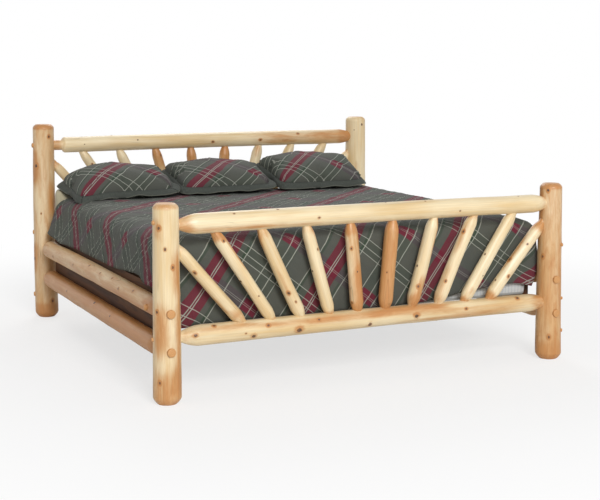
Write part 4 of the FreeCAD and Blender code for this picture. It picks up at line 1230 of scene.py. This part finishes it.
for v in bm.verts:
    u, w = flat_places[v.index]
    v.co += v.normal * pushes[v.index]
    side_run = max(abs(u) - shoulder_x, 0.0)
    depth = side_run / side_drop
    near_head = smooth_step(head_zone_y, head_edge_y, w)
    near_corner = smooth_step(0.62, head_edge_y, w)
    near_foot = smooth_step(0.15, 0.60, -w) * (1 - smooth_step(0.62, 0.68, -w))
    v.co.x += math.copysign((side_bulge + side_head_bulge * near_head) * depth * depth, u)
    v.co.y += head_flare * near_head * depth ** 0.6
    v.co.x += math.copysign(head_corner_out * near_corner * smooth_step(0.0, 0.4, depth), u)
    v.co.z += (head_corner_lift * near_corner + side_foot_lift * near_foot) * depth * depth
    foot_depth = max(-shoulder_y - w, 0.0) / foot_drop
    lift = (foot_hem_right_lift * smooth_step(0.2, 0.83, v.co.x)
            - foot_hem_right_tuck * smooth_step(0.86, 1.0, v.co.x)
            - foot_hem_left_tuck * smooth_step(0.84, 0.97, -v.co.x))
    v.co.z += lift * foot_depth ** 3
    right_corner = smooth_step(0.88, 0.98, v.co.x) * smooth_step(0.02, 0.4, foot_depth)
    v.co.x += foot_corner_out * right_corner
    near_right_foot = smooth_step(0.7, 0.95, u) * smooth_step(0.6, 0.9, -w)
    v.co.z -= foot_corner_sink * near_right_foot * (1 - foot_depth)
comforter = lay_piece(bm, "quilted_comforter", plaid_finish, "comforter", "bed")
backing = comforter.modifiers.new("filling", "SOLIDIFY")
backing.thickness = comforter_thickness
backing.offset = -1
corner_out = shoulder_out_share * shoulder_run
corner_area = math.pi / 4 * (2 * shoulder_area_share * shoulder_run ** 2
                             + corner_out * (foot_drop + side_drop - 2 * shoulder_run))

# Pillows: three filled pillows in plaid shams with plain flanges. They lie side by side on
# the comforter, tilted towards the headboard, and each flange droops under its own weight.
pillow_depth = 0.470
pillow_half_thickness = 0.1075
pillow_front_lift = 0.042
pillow_rest_z = comforter_top + 0.001
flange_width = 0.046
flange_thickness = 0.004
flange_steps = 5
flange_overlap = 0.004
flange_lap_share = 0.7
flange_side_reach = 0.034
flange_front_reach = 0.034
cloth_over_crown_share = 1.25
envelope_grow = 1.13
envelope_loft = 0.016
pillow_fullness = 0.78
pillow_pressed_share = 0.02
pillow_sag_zone = (0.78, 0.97)
rim_draw_in = 0.03
flange_start_angle = 0.20
flange_start_wave = 0.25
flange_bend = 0.75
flange_bend_upward = 0.30
flange_bend_wave = 0.55
blow_frames = 26
flange_plain = srgb(66, 70, 64)
piping_with_painted_highlight = srgb(120, 122, 110)


def flange_cloth(tone):
    """Plain cloth; its map runs along the rim and, in metres, outwards from the seam"""
    cloth = tone.node("UVMap", uv_map="cloth")
    out = cloth.parts()[1]
    heather = cloth.stretch(500, 60, 1).noise(1.0, 2.0)
    rib = (out * 2600).math("SINE") * 0.5 + 0.5
    edge = out.step(flange_width - 0.0035, flange_width - 0.002)
    stitch = 1.0 - (out - 0.004).math("ABSOLUTE").step(0.0006, 0.0014)
    color = heather.step(0.3, 0.8).mix(flange_plain, charcoal)
    # Pale piping at the flange's outer edge, mixed in half way, that also serves as a painted
    # highlight along that edge.
    color = (edge * 0.5).mix(color, piping_with_painted_highlight)
    return color, 0.85, rib * 0.2 + heather * 0.6 - stitch * 2.0, 0.0012


flange_finish = finish("plain_flange", flange_cloth, Sheen_Weight=0.05, Specular_IOR_Level=0.25)


def filled_envelope(seed, half_x, half_y):
    """Two layers sewn together round their rim and blown up as cloth, in the pillow's frame"""
    bm = bmesh.new()
    bmesh.ops.create_grid(bm, x_segments=46, y_segments=32, size=1)
    phase = random.Random(seed).uniform(0, 50)
    for v in bm.verts:
        p, q = v.co.x, v.co.y
        swell = (1 - p ** 6) * (1 - q ** 6)
        lump = 1 + 0.25 * noise.noise(Vector((p * 2, q * 2, phase)))
        v.co = Vector((p * half_x * envelope_grow, q * half_y * envelope_grow,
                       envelope_loft * swell * lump))
    cloth_map = bm.loops.layers.uv.new("cloth")
    rim_layer = bm.verts.layers.float.new("rim")
    for v in bm.verts:
        v[rim_layer] = 1.0 if v.is_boundary else 0.0
    for face in bm.faces:
        for loop in face.loops:
            along = loop.vert.co.y / envelope_grow + half_y
            loop[cloth_map].uv = (0, along * cloth_over_crown_share)
    under = bmesh.ops.duplicate(bm, geom=whole(bm))["geom"]
    bmesh.ops.reverse_faces(bm, faces=only(BMFace, under))
    for v in only(BMVert, under):
        v.co.z = -v.co.z
    rim = [v for v in bm.verts if v.is_boundary]
    bmesh.ops.remove_doubles(bm, verts=rim, dist=1e-5)
    data = bpy.data.meshes.new("envelope")
    bm.to_mesh(data)
    bm.free()
    envelope = bpy.data.objects.new("envelope", data)
    bpy.context.collection.objects.link(envelope)
    cloth = envelope.modifiers.new("fill", "CLOTH")
    cloth.settings.quality = 6
    cloth.settings.mass = 0.2
    cloth.settings.tension_stiffness = 30
    cloth.settings.compression_stiffness = 30
    cloth.settings.bending_stiffness = 0.4
    cloth.settings.use_pressure = True
    cloth.settings.uniform_pressure_force = 9
    cloth.settings.effector_weights.gravity = 0
    for number in range(1, blow_frames + 1):
        bpy.context.scene.frame_set(number)
    graph = bpy.context.evaluated_depsgraph_get()
    shaped = bpy.data.meshes.new_from_object(envelope.evaluated_get(graph))
    envelope.modifiers.clear()
    envelope.data = shaped
    bpy.context.scene.frame_set(1)
    bm = bmesh.new()
    bm.from_mesh(envelope.data)
    bpy.data.objects.remove(envelope)
    return bm


def square_up(bm, half_x, half_y, half_z, plaid_shift):
    """Brings the drawn-in rim back out to a soft rectangle, with all that lies inside it"""
    cloth_map = bm.loops.layers.uv["cloth"]
    rim_layer = bm.verts.layers.float["rim"]
    reach_x, reach_y, reach_z = (max(abs(v.co[i]) for v in bm.verts) for i in range(3))

    def polar(v):
        return (math.atan2(v.co.y / reach_y, v.co.x / reach_x),
                math.hypot(v.co.x / reach_x, v.co.y / reach_y))

    rim = sorted(polar(v) for v in bm.verts if v[rim_layer] > 0.5)
    angles = [angle for angle, reach in rim]
    for v in bm.verts:
        angle, reach = polar(v)
        place = bisect.bisect(angles, angle) % len(rim)
        (before, low), (after, high) = rim[place - 1], rim[place]
        gap = (after - before) % (2 * math.pi)
        share = ((angle - before) % (2 * math.pi)) / gap if gap > 1e-6 else 0.0
        drawn_in = low + (high - low) * share
        square = (abs(math.cos(angle)) ** 8 + abs(math.sin(angle)) ** 8) ** (-1 / 8)
        wanted = square * (1 - rim_draw_in * math.cos(2 * angle) ** 2)
        v.co = Vector((v.co.x / reach_x * half_x * wanted / drawn_in,
                       v.co.y / reach_y * half_y * wanted / drawn_in,
                       math.copysign(abs(v.co.z / reach_z) ** pillow_fullness * half_z, v.co.z)))
    for face in bm.faces:
        for loop in face.loops:
            along = loop[cloth_map].uv.y
            loop[cloth_map].uv = (loop.vert.co.x + plaid_shift[0], along + plaid_shift[1])


def support_z(x):
    """The height of the comforter's surface under the pillows, which falls off at its sides"""
    past = (abs(x) - shoulder_x) / shoulder_run
    if past <= 0:
        return pillow_rest_z
    if past >= shoulder_out_share:
        return -1.0
    low, high = 0.0, 1.0
    for _ in range(20):
        middle = (low + high) / 2
        low, high = (middle, high) if over_edge(middle * shoulder_run)[0] < past * shoulder_run \
            else (low, middle)
    return pillow_rest_z - over_edge(low * shoulder_run)[1]


def droop(share, start_angle, end_angle):
    """How far out and how far down a bending strip has gone, as shares of its width"""
    turn = end_angle - start_angle
    here = start_angle + turn * share
    return ((math.sin(here) - math.sin(start_angle)) / turn,
            (math.cos(start_angle) - math.cos(here)) / turn)


def sew_flange(bm, flat_places, half_x, half_y, tilt, side_falls, phase):
    """A doubled strip of plain cloth, sewn on round the rim, that hangs down to the comforter"""
    cloth_map = bm.loops.layers.uv["cloth"]
    rim_layer = bm.verts.layers.float["rim"]
    seam = [e for e in bm.edges if all(v[rim_layer] > 0.5 for v in e.verts)]
    corners = {v: flat_places[v.index] for e in seam for v in e.verts}
    strip = bmesh.ops.duplicate(bm, geom=seam + list(corners))
    copies = strip["vert_map"]
    roots = {copies[v]: (v.co.copy(), place) for v, place in corners.items()}
    edges = only(BMEdge, strip["geom"])
    reach = {v: 0 for v in roots}
    faces = []
    for step in range(1, flange_steps + 1):
        ring = {v for e in edges for v in e.verts}
        grown = bmesh.ops.extrude_edge_only(bm, edges=edges)["geom"]
        fresh = only(BMVert, grown)
        faces += only(BMFace, grown)
        edges = [e for e in only(BMEdge, grown) if all(v in fresh for v in e.verts)]
        for v in fresh:
            back = next(e.other_vert(v) for e in v.link_edges if e.other_vert(v) in ring)
            root, (flat_x, flat_y) = roots[back]
            roots[v] = roots[back]
            reach[v] = step
            out = Vector((flat_x / half_x, flat_y / half_y, 0)) * flange_width
            upward = out.y / out.length
            sideways = out.x / out.length
            side_fall = side_falls[0 if sideways < 0 else 1] * sideways ** 2
            wave = noise.noise(Vector((flat_x * 11, flat_y * 11, phase)))
            start_angle = (flange_start_angle - tilt * upward + flange_start_wave * wave
                           + side_fall)
            end_angle = (start_angle + flange_bend - flange_bend_upward * upward
                         + flange_bend_wave * wave)
            along, down = droop(step / flange_steps, start_angle, end_angle)
            v.co = root + out * along - Vector((0, 0, flange_width * down))
            v.co.z = max(v.co.z, support_z(v.co.x) + flange_thickness)
    for v, steps_out in reach.items():
        if steps_out == 0:
            flat_x, flat_y = roots[v][1]
            v.co -= Vector((flat_x / half_x, flat_y / half_y, 0)) * flange_overlap
    for face in faces:
        face.material_index = 1
        for loop in face.loops:
            flat_x, flat_y = roots[loop.vert][1]
            loop[cloth_map].uv = (flat_x + flat_y, reach[loop.vert] / flange_steps * flange_width)
    bmesh.ops.recalc_face_normals(bm, faces=faces)
    if sum(f.normal.z for f in faces) < 0:
        bmesh.ops.reverse_faces(bm, faces=faces)
    bm.normal_update()
    second = bmesh.ops.extrude_face_region(bm, geom=faces)["geom"]
    for v in only(BMVert, second):
        v.co.z -= flange_thickness * flange_lap_share
    bmesh.ops.recalc_face_normals(bm, faces=[f for f in bm.faces if f.material_index == 1])


# Each pillow: its tilt and yaw in degrees, how far it is moved and widened, how full it is, how
# far its outer end hangs past the mattress, how its side flanges fall, and where its plaid starts.
pillow_looks = {
    "left": (9.0, 1.0, 0.004, 0.018, 0.95, 0.022, (0.80, -0.75), (0.0856, 0.0045)),
    "middle": (12.0, -0.6, 0.0, 0.006, 0.80, 0.0, (0.3, -0.55), (0.0786, 0.0445)),
    "right": (14.5, 0.8, -0.004, 0.006, 0.89, 0.0, (0.65, 0.0), (0.1476, 0.0195)),
}
for number, (side_name, look) in enumerate(pillow_looks.items()):
    tilt_deg, yaw_deg, shift, widen, full, sag, side_falls, plaid_shift = look
    tilt = math.radians(tilt_deg)
    low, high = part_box("pillow_" + side_name)
    half_x = (high.x - low.x) / 2 - flange_side_reach + widen / 2
    half_y = pillow_depth / 2 - flange_front_reach
    centre = Vector(((low.x + high.x) / 2 + shift, low.y + pillow_depth / 2 * math.cos(tilt),
                     pillow_rest_z + pillow_front_lift + pillow_depth / 2 * math.sin(tilt)))
    turn = (Matrix.Rotation(math.radians(yaw_deg), 3, "Z") @ Matrix.Rotation(tilt, 3, "X"))
    turn = Matrix.Rotation(math.radians(yaw_deg), 3, "Z") @ Matrix.Rotation(tilt, 3, "X")
    bm = filled_envelope(number + 3, half_x, half_y)
    square_up(bm, half_x, half_y, pillow_half_thickness * full, plaid_shift)
    bm.verts.index_update()
    flat_places = {v.index: (v.co.x, v.co.y) for v in bm.verts}
    for v in bm.verts:
        v.co = centre + turn @ v.co
        v.co.z -= sag * smooth_step(*pillow_sag_zone, -v.co.x)
        rest = support_z(v.co.x)
        if v.co.z < rest:
            v.co.z = rest + (v.co.z - rest) * pillow_pressed_share
    sew_flange(bm, flat_places, half_x, half_y, tilt, side_falls, number * 5.0)
    pillow = lay_piece(bm, f"sham_{side_name}", plaid_finish, f"pillow_{side_name}",
                       f"{side_name}_pillow")
    pillow.data.materials.append(flange_finish)
